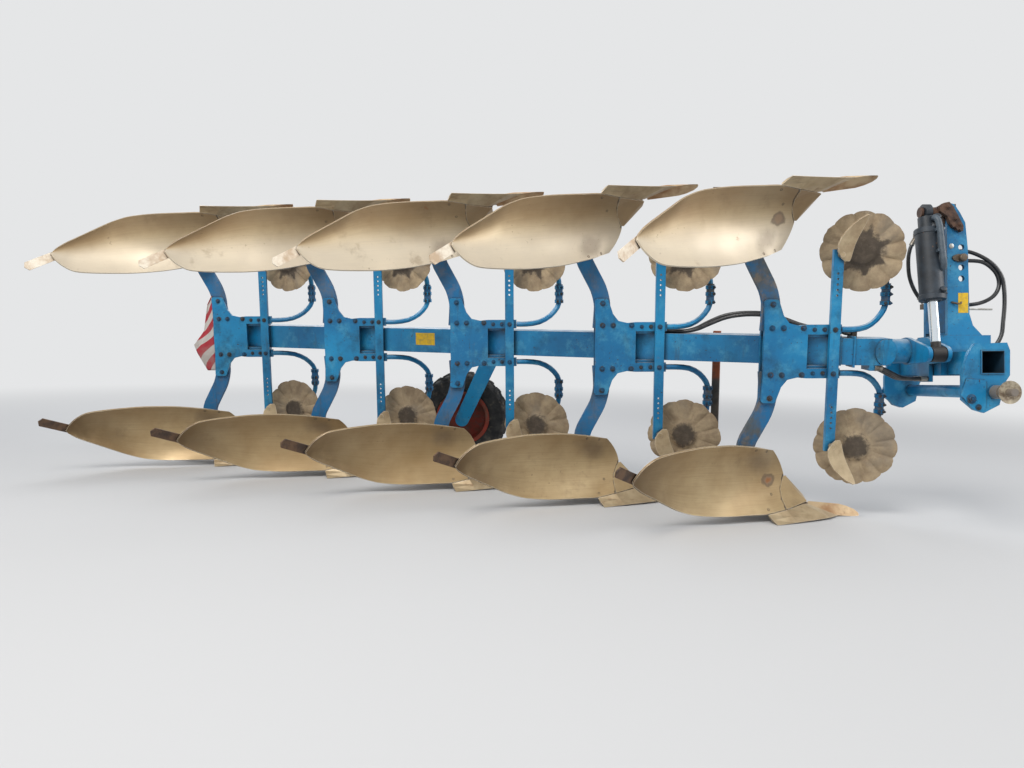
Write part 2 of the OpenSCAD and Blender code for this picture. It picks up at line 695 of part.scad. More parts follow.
// Depth wheel: cross tube on the beam, cranked arm and wheel
wheel_pivot_x = -1520;
wheel_tube_end = 1500;
wheel_tube = 100;
wheel_centre = [-1830, 1665, -650];
arm_plate = 28;
module wheel_beam()
    color("steelblue") parked() {
        start = beam_y(wheel_pivot_x) + beam_size / 2 / cos(skew) + wheel_tube / 2 * tan(skew) + 1;
        translate([wheel_pivot_x - wheel_tube / 2, start, -wheel_tube / 2])
            cube([wheel_tube, wheel_tube_end - start, wheel_tube]);
        translate([wheel_pivot_x, wheel_tube_end - 1, 0]) rotate([-90, 0, 0])
            cylinder(d = 60, h = arm_plate + 22);
    }
module wheel_arm()
    color("steelblue") parked() {
        difference() {
            hull() for (p = [[wheel_pivot_x, 0, 65], [wheel_centre.x, wheel_centre.z, 52]])
                translate([p[0], wheel_tube_end + 5, p[1]]) rotate([-90, 0, 0])
                    cylinder(r = p[2], h = arm_plate, $fn = 32);
            translate([wheel_pivot_x, wheel_tube_end, 0]) rotate([-90, 0, 0])
                cylinder(d = 60 + 2 * run_gap, h = 60);
        }
        translate([wheel_centre.x, wheel_tube_end + 5 + arm_plate - 1, wheel_centre.z])
            rotate([-90, 0, 0]) cylinder(d = 40, h = 150);
    }
module at_wheel() parked() translate(wheel_centre) rotate([-90, 0, 0]) children();
module wheel_rim()
    color("firebrick") at_wheel()
        rotate_extrude($fn = 96)
        polygon([[20 + run_gap, -60], [60, -60], [60, -6], [170, -6], [178, -88], [205, -90], [205, -82],
            [186, -80], [182, 80], [205, 82], [205, 90], [178, 88], [170, 6], [60, 6], [60, 40],
                [20 + run_gap, 40]]);
module wheel_tyre()
    color([0.1, 0.1, 0.1]) at_wheel()
        rotate_extrude($fn = 96)
        polygon([[206, -80], [230, -95], [300, -tyre_w / 2], [tyre_d / 2 - 12, -tyre_w / 2 + 12],
            [tyre_d / 2, -60],
            [tyre_d / 2, 60], [tyre_d / 2 - 12, tyre_w / 2 - 12], [300, tyre_w / 2], [230, 95], [206, 80]]);

// Parking stand: a square tube that slides in a sleeve beside the beam
stand_place = [-169, 505];
stand_foot = 957;
stand_top = 84;
stand_gap = 0.5;
sleeve_half = stand_size / 2 + stand_gap + 13;
module at_stand() parked() translate([stand_place.x, stand_place.y, 0]) rotate([0, 0, -skew]) children();
module stand_bracket()
    color("steelblue") at_stand()
        difference() {
            reach = (stand_place.y - beam_y(stand_place.x)) * cos(skew) - beam_size / 2;
            translate([-sleeve_half, -reach, -70]) cube([2 * sleeve_half, reach + sleeve_half, 140]);
            cube([stand_size + 2 * stand_gap, stand_size + 2 * stand_gap, 200], center = true);
        }
module parking_stand()
    color("chocolate") at_stand() {
        translate([-stand_size / 2, -stand_size / 2, -stand_foot])
            cube([stand_size, stand_size, stand_foot + stand_top]);
        translate([-60, -60, -stand_foot - 8]) cube([120, 120, 9]);
    }

// Hoses. Points along each route in the frame of the headstock or of the plough
hose_d = 22;
loop_routes = [
    [[1028.5, 134, 560], [1065, 134, 570], [1150, 120, 575], [1215, 90, 545], [1275, 60, 490],
        [1310, 40, 420],
        [1318, 30, 350], [1314, 20, 260], [1300, 10, 170], [1284, 2, 86], [1245, 2, 25], [1178, 12, -10]],
    [[1028.5, 134, 532], [1070, 132, 530], [1150, 112, 520], [1230, 80, 505], [1285, 60, 450],
        [1303, 52, 392],
        [1290, 46, 338], [1250, 42, 296], [1185, 50, 268], [1110, 100, 262], [1060, 130, 266],
            [1030, 134, 270]]
];
side_route = [[896, 176, 655], [874, 180, 612], [862, 182, 560], [860, 182, 500], [866, 182, 440],
    [884, 180, 380], [910, 172, 325], [938, 160, 285]];
bundle_rows = [-33, 0, 33];
bundle_route = [[bundle_start, 0, -92], [605, 0, -98], [655, 0, -122], [705, 0, -147],
    [755, 0, -bundle_depth], [800, 0, -bundle_depth], [cheek_front - seat_gap, 0, -bundle_depth]];
beam_routes = [
    [[-540, 452, 92], [-465, 422, 92], [-390, 392, 94], [-330, 366, 112], [-270, 336, 148],
        [-180, 300, 190],
        [-75, 262, 207], [40, 218, 203], [130, 182, 175], [220, 150, 140], [310, 118, 122], [400, 86, 108],
        [470, 68, 94]],
    [[-540, 422, 92], [-465, 392, 92], [-390, 362, 94], [-330, 336, 108], [-270, 306, 138],
        [-180, 270, 178],
        [-75, 232, 196], [40, 188, 192], [130, 152, 165], [220, 120, 132], [310, 88, 118], [390, 58, 110],
        [455, 42, 100]]
];
module headstock_hoses()
    color([0.1, 0.1, 0.1]) headstock() {
        for (route = loop_routes) sweep(route, hose_d / 2, sides = 8);
        sweep(side_route, hose_d / 2, [1, 0, 0], 8);
    }
module crank_hoses()
    color([0.1, 0.1, 0.1]) headstock()
        for (y = bundle_rows) sweep([for (p = bundle_route) p + [0, y, 0]], hose_d / 2, sides = 8);
module beam_hoses()
    color([0.1, 0.1, 0.1]) parked() for (route = beam_routes) sweep(route, hose_d / 2, [0, 0, 1], 8);
// Blocks that the hoses end in: on the left tower plate and on the bearing housing
module hose_fittings()
    color("dimgray") headstock() {
        for (z = [560, 532, 270]) translate([1010, tower_half, z - 11]) cube([15, 28, 22]);
        translate([892, tower_half, 662]) cube([44, 70, 28]);
        translate([922, tower_half, 246]) cube([32, 54, 30]);
        across(1150) translate([12, -16]) cylinder(r = 15, h = 22);
    }
// Blocks that the beam's hoses end in: on the beam and on the front carrier
module hose_clamps()
    color("dimgray") parked() {
        for (y = [452, 422]) translate([-569, y - 12, beam_size / 2]) cube([24, 26, 26]);
        for (p = [[475, 68], [460, 42]]) translate([p.x, p.y - 12, carrier_half]) cube([24, 24, 36]);
    }

// Warning flag hung at the rear bracket
module marker_flag()
    color("white") parked()
        translate([-step_x * (furrows - 1) - 52, step_y * (furrows - 1) + leg_near - 4, 0])
        rotate([90, 0, 0])
        linear_extrude(4)
        polygon([[4, 300], [-30, 240], [-70, 40], [-150, -60], [-130, -120], [-60, -250], [3, -200]]);

module disc_lower_1() disc_coulter(1, false);
module disc_lower_2() disc_coulter(2, false);
module disc_lower_3() disc_coulter(3, false);
module disc_lower_4() disc_coulter(4, false);
module disc_lower_5() disc_coulter(5, false);
module disc_upper_1() disc_coulter(1, true);
module disc_upper_2() disc_coulter(2, true);
module disc_upper_3() disc_coulter(3, true);
module disc_upper_4() disc_coulter(4, true);
module disc_upper_5() disc_coulter(5, true);

tower();
cylinder_anchor();
bearing_housing();
cross_tube();
link_plates();
lower_link_shaft();
link_balls();
top_link_pin();
hose_fittings();
cylinder_barrel();
cylinder_rod();
turn_crank();
front_carrier();
main_beam();
leg_brackets();
legs(false);  // legs_lower
legs(true);  // legs_upper
frogs(false);  // frogs_lower
frogs(true);  // frogs_upper
moldboards(false);  // moldboards_lower
moldboards(true);  // moldboards_upper
shins(false);  // shins_lower
shins(true);  // shins_upper
shares(false);  // shares_lower
shares(true);  // shares_upper
points(false);  // points_lower
points(true);  // points_upper
extensions(false);  // extensions_lower
extensions(true);  // extensions_upper
landsides(false);  // landsides_lower
landsides(true);  // landsides_upper
skimmer_stalks();
skimmers(false);  // skimmers_lower
skimmers(true);  // skimmers_upper
coulter_arms(false);  // coulter_arms_lower
coulter_arms(true);  // coulter_arms_upper
disc_lower_1();
disc_lower_2();
disc_lower_3();
disc_lower_4();
disc_lower_5();
disc_upper_1();
disc_upper_2();
disc_upper_3();
disc_upper_4();
disc_upper_5();
wheel_beam();
wheel_arm();
wheel_rim();
wheel_tyre();
stand_bracket();
parking_stand();
marker_flag();
hose_clamps();
headstock_hoses();
crank_hoses();
beam_hoses();
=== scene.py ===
"""Looks of a parked reversible plough: worn blue paint, soil polished steel and dried earth."""
import json
import math

import bmesh
import bpy
from mathutils import Matrix, Vector, noise


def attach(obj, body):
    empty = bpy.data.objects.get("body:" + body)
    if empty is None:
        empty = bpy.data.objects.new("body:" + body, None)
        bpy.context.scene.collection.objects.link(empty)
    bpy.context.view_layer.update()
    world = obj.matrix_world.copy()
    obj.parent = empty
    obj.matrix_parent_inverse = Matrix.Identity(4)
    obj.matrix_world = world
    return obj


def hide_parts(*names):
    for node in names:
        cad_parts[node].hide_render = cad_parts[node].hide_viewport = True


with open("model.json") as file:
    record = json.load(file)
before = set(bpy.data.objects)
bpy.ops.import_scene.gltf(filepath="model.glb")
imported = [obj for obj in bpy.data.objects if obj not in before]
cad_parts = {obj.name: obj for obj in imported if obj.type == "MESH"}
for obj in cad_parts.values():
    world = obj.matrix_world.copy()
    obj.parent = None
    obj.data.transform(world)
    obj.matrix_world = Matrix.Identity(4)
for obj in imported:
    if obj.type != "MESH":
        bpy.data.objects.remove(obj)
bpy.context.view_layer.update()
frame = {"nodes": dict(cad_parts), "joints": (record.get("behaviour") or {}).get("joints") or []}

# Driving dimensions of the plough, in metres, in the frame of the beam
FURROWS = 5
STEP_X = 0.9
STEP_Y = 0.35
SKEW = math.atan2(STEP_Y, STEP_X)
HEADSTOCK_ROLL = math.radians(7.5)
BEAM_HALF = 0.08
BRACKET_FRONT = -0.007
BOARD_THICK = 0.009
DISC_RADIUS = 0.225
DISC_LOBES = 12
TYRE_RADIUS = 0.35
TYRE_HALF_WIDTH = 0.1
SIDES = {"lower": False, "upper": True}
LIGHT_CENTRE = (0, 0, 0.9)
BEAM_PLATE_X = -2.033
# Along the travel, from where to where marks that only the front bodies have set in
FIRST_FURROW = (1.0, 1.3)
# From which height to which the looks of the lower row turn into those of the upper one
UPPER_ROW = (0.75, 1.05)

joints = {joint["name"]: joint for joint in frame["joints"]}


def frame_at(place, *axes):
    """A frame at a place, from the directions of its three axes."""
    return Matrix.Translation(place) @ Matrix(axes).transposed().to_4x4()


def joint_frame(joint):
    """A frame at a joint, with Z along its axis and X level."""
    axis = Vector(joint["axis"])
    side = Vector((0, 0, 1)).cross(axis).normalized()
    return frame_at(joint["pos_m"], side, axis.cross(side), axis)


def facing(place, axis):
    """A frame at a place, with Z along an axis."""
    return Matrix.Translation(place) @ Vector(axis).to_track_quat("Z", "Y").to_matrix().to_4x4()


def metres(points):
    """Points of a table that is written in millimetres."""
    return [[v / 1000 for v in point] for point in points]


def polar(radius, angle, height=0.0):
    return Vector((radius * math.cos(angle), radius * math.sin(angle), height))


def turns(count):
    """Angles of equal steps round a full turn."""
    return [2 * math.pi * k / count for k in range(count)]


def add_object(name, data):
    thing = bpy.data.objects.new(name, data)
    bpy.context.scene.collection.objects.link(thing)
    return thing


# From the beam's own frame to the ground's, read from three joints
BACKWARD, LEFT, UP = (Vector(joints[j]["axis"]) for j in ("turnover", "wheel_arm_swing", "stand_slide"))
PARKED = frame_at(joints["turnover"]["pos_m"], -BACKWARD, LEFT, UP)
HEADSTOCK = PARKED @ Matrix.Rotation(-HEADSTOCK_ROLL, 4, "X")


def furrow_matrix(i, upper):
    flip = Matrix.Diagonal((1, 1, -1 if upper else 1, 1))
    return PARKED @ flip @ Matrix.Translation((-STEP_X * i, STEP_Y * i, 0))


# Turnover cylinder: its upper pin and its rod's eye at rest, in the headstock's frame
CYLINDER_X = 0.812
CYLINDER_TOP = Vector((CYLINDER_X, -0.096, 0.750))
CRANK_ANGLE = math.radians(187.1)
CRANK_RADIUS = 0.2016
CRANK_PIN = Vector((CYLINDER_X, CRANK_RADIUS * math.cos(CRANK_ANGLE), CRANK_RADIUS * math.sin(CRANK_ANGLE)))
ROD_EYE = tuple(HEADSTOCK @ CRANK_PIN)
# Height of the back plate's top, below the block that carries the cylinder
PLATE_TOP = (HEADSTOCK @ Vector((0.93, 0, 0.675))).z
# Middle and inner half width of the square cross tube, and where the lower link shaft turns bare
TUBE_PLACE = (0.975, 0, -0.073)
TUBE_INSIDE = 0.0565
SHAFT_BARE = 0.425

# Camera: the photograph's point of view, held in the beam's frame
CAMERA_PLACE = Vector((-1.437, -4.273, 0.3996))
CAMERA_LENS = 27.03
CAMERA_PITCH = math.radians(7.65)
CAMERA_ROLL = math.radians(0.29)
CAMERA_YAW = math.radians(0.1)


def make_camera():
    data = bpy.data.cameras.new("photo_camera")
    data.lens = CAMERA_LENS
    data.sensor_width = 36
    data.clip_start = 0.05
    data.clip_end = 200
    camera = add_object("photo_camera", data)
    aim = (
        Matrix.Rotation(CAMERA_YAW, 4, "Z")
        @ Matrix.Rotation(math.pi / 2 - CAMERA_PITCH, 4, "X")
        @ Matrix.Rotation(-CAMERA_ROLL, 4, "Z")
    )
    camera.matrix_world = PARKED @ Matrix.Translation(CAMERA_PLACE) @ aim
    bpy.context.scene.camera = camera


make_camera()


# Hoses: the CAD node that each replaces, and points along its route in the frame of the headstock,
# or of the plough for those on the beam
HOSE_DIAMETER = 0.022
HOSE_STEPS = 4
ROUTES = {
    "loop_high": ("headstock_hoses", metres([
        (1028.5, 134, 560), (1065, 134, 570), (1150, 120, 575), (1215, 90, 545), (1275, 60, 490),
        (1310, 40, 420), (1318, 30, 350), (1314, 20, 260), (1300, 10, 170), (1284, 2, 86),
        (1245, 2, 25), (1178, 12, -10),
    ])),
    "loop_low": ("headstock_hoses", metres([
        (1028.5, 134, 532), (1070, 132, 530), (1150, 112, 520), (1230, 80, 505), (1285, 60, 450),
        (1303, 52, 392), (1290, 46, 338), (1250, 42, 296), (1185, 50, 268), (1110, 100, 262),
        (1060, 130, 266), (1030, 134, 270),
    ])),
    "side": ("headstock_hoses", metres([
        (896, 176, 655), (874, 180, 612), (862, 182, 560), (860, 182, 500), (866, 182, 440),
        (884, 180, 380), (910, 172, 325), (938, 160, 285),
    ])),
    "beam_far": ("beam_hoses", metres([
        (-540, 452, 92), (-465, 422, 92), (-390, 392, 94), (-330, 366, 112), (-270, 336, 148),
        (-180, 300, 190), (-75, 262, 207), (40, 218, 203), (130, 182, 175), (220, 150, 140),
        (310, 118, 122), (400, 86, 108), (470, 68, 94),
    ])),
    "beam_near": ("beam_hoses", metres([
        (-540, 422, 92), (-465, 392, 92), (-390, 362, 94), (-330, 336, 108), (-270, 306, 138),
        (-180, 270, 178), (-75, 232, 196), (40, 188, 192), (130, 152, 165), (220, 120, 132),
        (310, 88, 118), (390, 58, 110), (455, 42, 100),
    ])),
}
# The three of the bundle run side by side: X and Z along them, then Y of each
BUNDLE = [
    (560, -92), (605, -98), (655, -122), (705, -147), (755, -154), (800, -154), (851.7, -154),
]
for number, y in enumerate((-33, 0, 33), 1):
    ROUTES[f"bundle_{number}"] = ("crank_hoses", metres([(x, y, z) for x, z in BUNDLE]))


def spline(points, t):
    """Catmull-Rom curve through points, t from 0 to the number of spans."""
    last = len(points) - 1
    i = min(int(t), last - 1)
    u = t - i
    a, b, c, d = points[max(i - 1, 0)], points[i], points[i + 1], points[min(i + 2, last)]
    return [
        0.5 * (2 * q + (r - p) * u + (2 * p - 5 * q + 4 * r - s) * u * u + (3 * q - p - 3 * r + s) * u ** 3)
        for p, q, r, s in zip(a, b, c, d)
    ]


def smooth_path(points, steps):
    spans = len(points) - 1
    return [Vector(spline(points, k / steps)) for k in range(spans * steps + 1)]


def hose_base(node):
    """The body that hoses of a CAD node ride on, and the frame of their routes."""
    body = "headstock" if node == "headstock_hoses" else "frame"
    return body, PARKED if node == "beam_hoses" else HEADSTOCK


def make_hose(name, node, route):
    """Every hose shows from end to end and goes back into the plough."""
    body, place = hose_base(node)
    path = [place @ p for p in smooth_path(route, HOSE_STEPS)]
    data = bpy.data.curves.new(name, "CURVE")
    data.dimensions = "3D"
    # A depth of 1 leaves the thickness to the points' radius, which the curve's box follows
    data.bevel_depth = 1.0
    data.bevel_resolution = 4
    data.use_fill_caps = True
    line = data.splines.new("POLY")
    line.points.add(len(path) - 1)
    for point, p in zip(line.points, path):
        point.co = (*p, 1)
        point.radius = HOSE_DIAMETER / 2
    line.use_smooth = True
    hose = add_object(name, data)
    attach(hose, body)
    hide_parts(node)
    return hose


HOSES = [make_hose(f"hose_{name}", *route) for name, route in ROUTES.items()]


# Colours


def srgb(*colour):
    """A colour written as the eye sees it, from 0 to 255, as Blender's linear one."""
    parts = [value / 255 for value in colour]
    return (*(c / 12.92 if c <= 0.04045 else ((c + 0.055) / 1.055) ** 2.4 for c in parts), 1.0)


class Nodes:
    """A material's node tree with short calls for the nodes used here."""

    def __init__(self, name, roughness=0.5, metallic=0.0, coat=0.0):
        self.material = bpy.data.materials.new(name)
        self.material.use_nodes = True
        self.tree = self.material.node_tree
        self.shader = self.tree.nodes["Principled BSDF"]
        values = {"Roughness": roughness, "Metallic": metallic, "Coat Weight": coat, "Coat Roughness": 0.25}
        for socket, value in values.items():
            self.shader.inputs[socket].default_value = value
        coordinates = self.add("TexCoord").outputs
        self.place, self.uv = coordinates["Object"], coordinates["UV"]
        self.normal = self.add("NewGeometry").outputs["Normal"]
        self.height = self.axis(self.place, "Z")
        self.colour = None

    def put(self, socket, value):
        if isinstance(value, bpy.types.NodeSocket):
            self.tree.links.new(value, socket)
        else:
            socket.default_value = value

    def add(self, kind, **inputs):
        """A new node. Its inputs go by their names, with _ for a space."""
        node = self.tree.nodes.new("ShaderNode" + kind)
        for name, value in inputs.items():
            self.put(node.inputs[name.replace("_", " ")], value)
        return node

    def operate(self, kind, operation, values):
        node = self.add(kind)
        node.operation = operation
        for socket, value in zip(node.inputs, values):
            self.put(socket, value)
        return node.outputs

    def math(self, operation, *values):
        return self.operate("Math", operation, values)[0]

    def vector(self, operation, *values):
        return self.operate("VectorMath", operation, values)

    def both(self, first, second):
        return self.math("MULTIPLY", first, second)

    def stretch(self, vector, scale):
        return self.add("Mapping", Vector=vector, Scale=scale).outputs["Vector"]

    def noise(self, scale, detail=4.0, rough=0.55, vector=None):
        vector = vector or self.place
        node = self.add("TexNoise", Vector=vector, Scale=scale, Detail=detail, Roughness=rough)
        return node.outputs["Fac"]

    def ramp(self, value, low, high, first=0.0, last=1.0):
        node = self.add("MapRange", Value=value, From_Min=low, From_Max=high, To_Min=first, To_Max=last)
        node.interpolation_type = "SMOOTHSTEP"
        return node.outputs["Result"]

    def fall(self, value, low, high):
        return self.ramp(value, low, high, 1.0, 0.0)

    def patch(self, scale, detail, rough, low, high):
        """White where noise is above the high level, fading out towards the low one."""
        return self.ramp(self.noise(scale, detail, rough), low, high)

    def streaks(self, scale, detail, rough, squeeze, low, high):
        """Patches drawn out along the height."""
        drawn = self.stretch(self.place, (1, 1, squeeze))
        return self.ramp(self.noise(scale, detail, rough, drawn), low, high)

    def line(self, value, slope, start):
        return self.math("MULTIPLY_ADD", value, slope, start)

    def mix(self, factor, first, second):
        node = self.add("Mix")
        node.data_type = "RGBA"
        for number, value in ((0, factor), (6, first), (7, second)):
            self.put(node.inputs[number], value)
        return node.outputs[2]

    def mottle(self, patch, first, second):
        """Two tones, the second in the patches."""
        return self.mix(self.patch(*patch), srgb(*first), srgb(*second))

    def axis(self, vector, name):
        return self.add("SeparateXYZ", Vector=vector).outputs[name]

    def off(self, matrix, place, name):
        """Distance from a place along one axis of a frame, always positive."""
        centre, along = matrix @ Vector(place), matrix.to_3x3().col["XYZ".index(name)]
        dot = self.vector("DOT_PRODUCT", self.place, along)["Value"]
        return self.math("ABSOLUTE", self.math("SUBTRACT", dot, centre.dot(along)))

    def length(self, vector, centre=(0.5, 0.5, 0.0)):
        return self.vector("DISTANCE", vector, centre)["Value"]

    def edges(self, width):
        """White along edges, found from rounded normals: worn paint on the painted parts, and polish with a
        painted rim highlight on the bare steel ones.
        """
        bevel = self.add("Bevel", Radius=width)
        bevel.samples = 4
        dot = self.vector("DOT_PRODUCT", bevel.outputs["Normal"], self.normal)["Value"]
        return self.fall(dot, 0.75, 0.98)

    def occlusion_shade(self, reach):
        """White in corners and gaps, found from ambient occlusion: the mask of painted shade."""
        node = self.add("AmbientOcclusion", Distance=reach)
        node.samples = 4
        return self.fall(node.outputs["AO"], 0.35, 0.85)

    def angle(self):
        """Angle round the middle of the UV map, in radians."""
        off = self.vector("SUBTRACT", self.uv, (0.5, 0.5, 0.0))["Vector"]
        return self.math("ARCTAN2", self.axis(off, "Y"), self.axis(off, "X"))

    def over(self, amount, mask, tint):
        """Lays a tint over the colour where the mask is white, at most by the amount."""
        self.colour = self.mix(self.both(mask, amount), self.colour, srgb(*tint))

    def bump(self, height, strength=0.3, distance=0.002):
        node = self.add("Bump", Strength=strength, Distance=distance, Height=height)
        self.put(self.shader.inputs["Normal"], node.outputs["Normal"])

    def done(self, roughness=None):
        self.put(self.shader.inputs["Base Color"], self.colour)
        if roughness is not None:
            self.put(self.shader.inputs["Roughness"], roughness)
        return self.material


def blue_paint(name="blue_paint", tube=False, shaft=False):
    """Blue paint: pale tops, partly wear and partly a painted sheen; painted shade in the corners; chips and
    rust at edges.
    """
    n = Nodes(name, roughness=0.5, coat=0.04)
    fade = n.patch(1.7, 5, 0.55, 0.35, 0.7)
    n.colour = n.mix(fade, srgb(2, 104, 154), srgb(18, 140, 190))
    n.over(0.55, n.patch(9, 7, 0.7, 0.48, 0.68), (74, 156, 188))
    grime = n.patch(5.5, 8, 0.7, 0.5, 0.72)
    n.over(0.6, grime, (26, 66, 86))
    # Up-facing tops: a painted sheen mixed with worn patches
    up = n.ramp(n.axis(n.normal, "Z"), 0.5, 0.95)
    n.over(0.75, n.both(up, n.patch(7, 6, 0.7, 0.3, 0.6)), (184, 196, 202))
    drips = n.streaks(16, 6, 0.7, 0.12, 0.55, 0.72)
    n.over(0.5, drips, (48, 68, 78))
    # Painted shade in corners and gaps
    n.over(0.85, n.occlusion_shade(0.06), (38, 44, 48))
    worn = n.both(n.edges(0.005), n.patch(38, 4, 0.55, 0.4, 0.56))
    n.over(0.8, worn, (72, 62, 58))
    chips = n.both(n.patch(85, 3, 0.5, 0.66, 0.7), n.patch(6, 3, 0.55, 0.42, 0.56))
    n.over(0.95, chips, (52, 44, 40))
    rust = n.both(n.patch(24, 6, 0.7, 0.62, 0.7), n.patch(4, 4, 0.55, 0.5, 0.62))
    n.over(0.7, rust, (112, 74, 52))
    if tube:
        # Painted shade inside the hollow cross tube
        wide, high = n.off(HEADSTOCK, TUBE_PLACE, "X"), n.off(HEADSTOCK, TUBE_PLACE, "Z")
        hollow_shade = n.fall(n.math("MAXIMUM", wide, high), TUBE_INSIDE, TUBE_INSIDE + 0.001)
        n.over(0.85, hollow_shade, (40, 40, 42))
    if shaft:
        bare = n.ramp(n.off(HEADSTOCK, (0, 0, 0), "Y"), SHAFT_BARE, SHAFT_BARE + 0.002)
        n.over(0.95, bare, (128, 116, 102))
    n.bump(n.noise(120, 3), 0.15, 0.001)
    return n.done(n.line(grime, 0.3, 0.4))


def soiled_blue():
    """Blue paint under dried earth, as on legs that run in the soil; the front ones have the most."""
    n = Nodes("soiled_blue", roughness=0.7)
    front = n.line(n.ramp(n.axis(n.place, "X"), *FIRST_FURROW), 0.6, 0.4)
    patch = n.patch(5, 8, 0.7, 0.38, 0.62)
    n.colour = n.mix(n.both(patch, front), srgb(16, 106, 158), srgb(84, 92, 96))
    earth = n.both(n.patch(13, 8, 0.7, 0.48, 0.66), front)
    n.over(0.75, earth, (126, 112, 94))
    streaks = n.streaks(20, 6, 0.7, 0.15, 0.5, 0.7)
    n.over(0.5, streaks, (70, 72, 72))
    worn = n.both(n.edges(0.006), n.patch(30, 4, 0.55, 0.4, 0.55))
    n.over(0.8, worn, (84, 66, 54))
    # Painted shade in corners and gaps
    n.over(0.7, n.occlusion_shade(0.05), (44, 42, 40))
    n.bump(n.noise(60, 6, 0.7), 0.4, 0.002)
    return n.done()


def board_steel(name, spotted):
    """Soil polished steel under a thin skin of earth; the lower row's tails are the darkest."""
    n = Nodes(name, roughness=0.45, metallic=0.35)
    along, across = n.axis(n.uv, "X"), n.axis(n.uv, "Y")
    upper = n.ramp(n.height, *UPPER_ROW)
    n.colour = n.mottle((2.2, 4, 0.55, 0.3, 0.7), (166, 139, 98), (194, 171, 131))
    cloud = n.patch(5, 7, 0.65, 0.42, 0.7)
    n.over(0.35, cloud, (146, 120, 84))
    streak = n.noise(3.0, 6, 0.6, n.stretch(n.uv, (1.5, 16, 1)))
    n.over(0.22, n.ramp(streak, 0.42, 0.7), (132, 106, 70))
    # Painted highlight on the upper row's boards
    upper_highlight = n.both(upper, n.ramp(across, 0.2, 0.75))
    n.over(0.6, upper_highlight, (218, 210, 194))
    shade = n.both(upper, n.fall(across, 0.1, 0.5))
    n.over(0.5, shade, (128, 102, 76))
    # Lower row: darker towards the tails and towards the upper edge
    low = n.math("SUBTRACT", 1.0, upper)
    dark_lower_tail = n.both(low, n.ramp(along, 0.45, 1.0))
    n.over(0.85, n.both(dark_lower_tail, n.patch(3.2, 5, 0.55, 0.2, 0.55)), (80, 58, 30))
    n.over(0.3, n.both(low, n.ramp(across, 0.45, 0.95)), (112, 86, 54))
    n.over(0.4, n.patch(4.3, 7, 0.65, 0.58, 0.7), (126, 104, 76))
    if spotted:
        uneven = n.both(n.noise(30, 4), 0.03)
        front = n.ramp(n.axis(n.place, "X"), *FIRST_FURROW)
        ring = n.math("ADD", n.length(n.stretch(n.uv, (1, 0.3, 1)), (0.085, 0.135, 0)), uneven)
        spot = n.both(front, n.fall(ring, 0.042, 0.052))
        n.over(0.7, spot, (104, 86, 72))
        core = n.both(front, n.fall(ring, 0.026, 0.04))
        n.over(0.8, core, (156, 130, 104))
        rusted = n.both(n.both(low, front), n.fall(ring, 0.022, 0.034))
        n.over(0.8, rusted, (158, 98, 48))
        smudge = n.length(n.stretch(n.uv, (1, 0.35, 1)), (0.13, 0.27, 0))
        smudge = n.math("ADD", smudge, n.both(n.noise(7, 5), 0.12))
        n.over(0.5, n.fall(smudge, 0.07, 0.15), (98, 82, 68))
        # A dark joint at the seam, with painted shade along it
        base = n.fall(across, 0.5, 0.53)
        seam = n.fall(n.math("ADD", along, uneven), 0.02, 0.028)
        n.over(0.85, n.both(seam, base), (58, 50, 44))
    rust = n.patch(8.5, 5, 0.6, 0.7, 0.74)
    n.over(0.5, rust, (142, 92, 54))
    specks = n.both(n.patch(60, 4, 0.55, 0.66, 0.7), n.patch(3, 4, 0.55, 0.5, 0.6))
    n.over(0.5, specks, (104, 84, 62))
    # Pale edges: polish and a painted rim highlight
    n.over(1, n.edges(0.004), (236, 226, 206))
    n.bump(n.noise(5.0, 8, 0.7, n.stretch(n.uv, (3, 40, 1))), 0.05, 0.0005)
    return n.done(n.line(n.patch(3.1, 5, 0.55, 0.35, 0.7), 0.2, 0.38))


def share_steel(name, clean, earthy):
    """Shares, points and skimmer plates: pale along their edges, partly polish and partly a painted rim
    highlight; earth elsewhere.
    """
    n = Nodes(name, roughness=0.45, metallic=0.4)
    n.colour = n.mottle((6, 6, 0.65, 0.35, 0.65), clean, earthy)
    n.over(0.5, n.patch(14, 6, 0.7, 0.6, 0.68), (126, 90, 60))
    # Painted shade in corners and gaps
    n.over(0.6, n.occlusion_shade(0.04), (60, 52, 46))
    # Pale edges: polish and a painted rim highlight
    n.over(1, n.edges(0.004), (226, 214, 194))
    n.bump(n.noise(80, 5), 0.25, 0.001)
    return n.done()


def tail_bar():
    """Bars behind the boards: the upper ones pale, the lower ones dark and rusty."""
    n = Nodes("tail_bar", roughness=0.6, metallic=0.2)
    pale = n.mottle((9, 6, 0.7, 0.35, 0.65), (236, 226, 208), (196, 172, 144))
    dark = n.mottle((14, 6, 0.7, 0.35, 0.65), (64, 50, 42), (108, 82, 60))
    n.colour = n.mix(n.ramp(n.height, *UPPER_ROW), dark, pale)
    # Painted shade in corners and gaps
    n.over(0.7, n.occlusion_shade(0.03), (48, 42, 38))
    n.bump(n.noise(80, 5), 0.3, 0.001)
    return n.done()


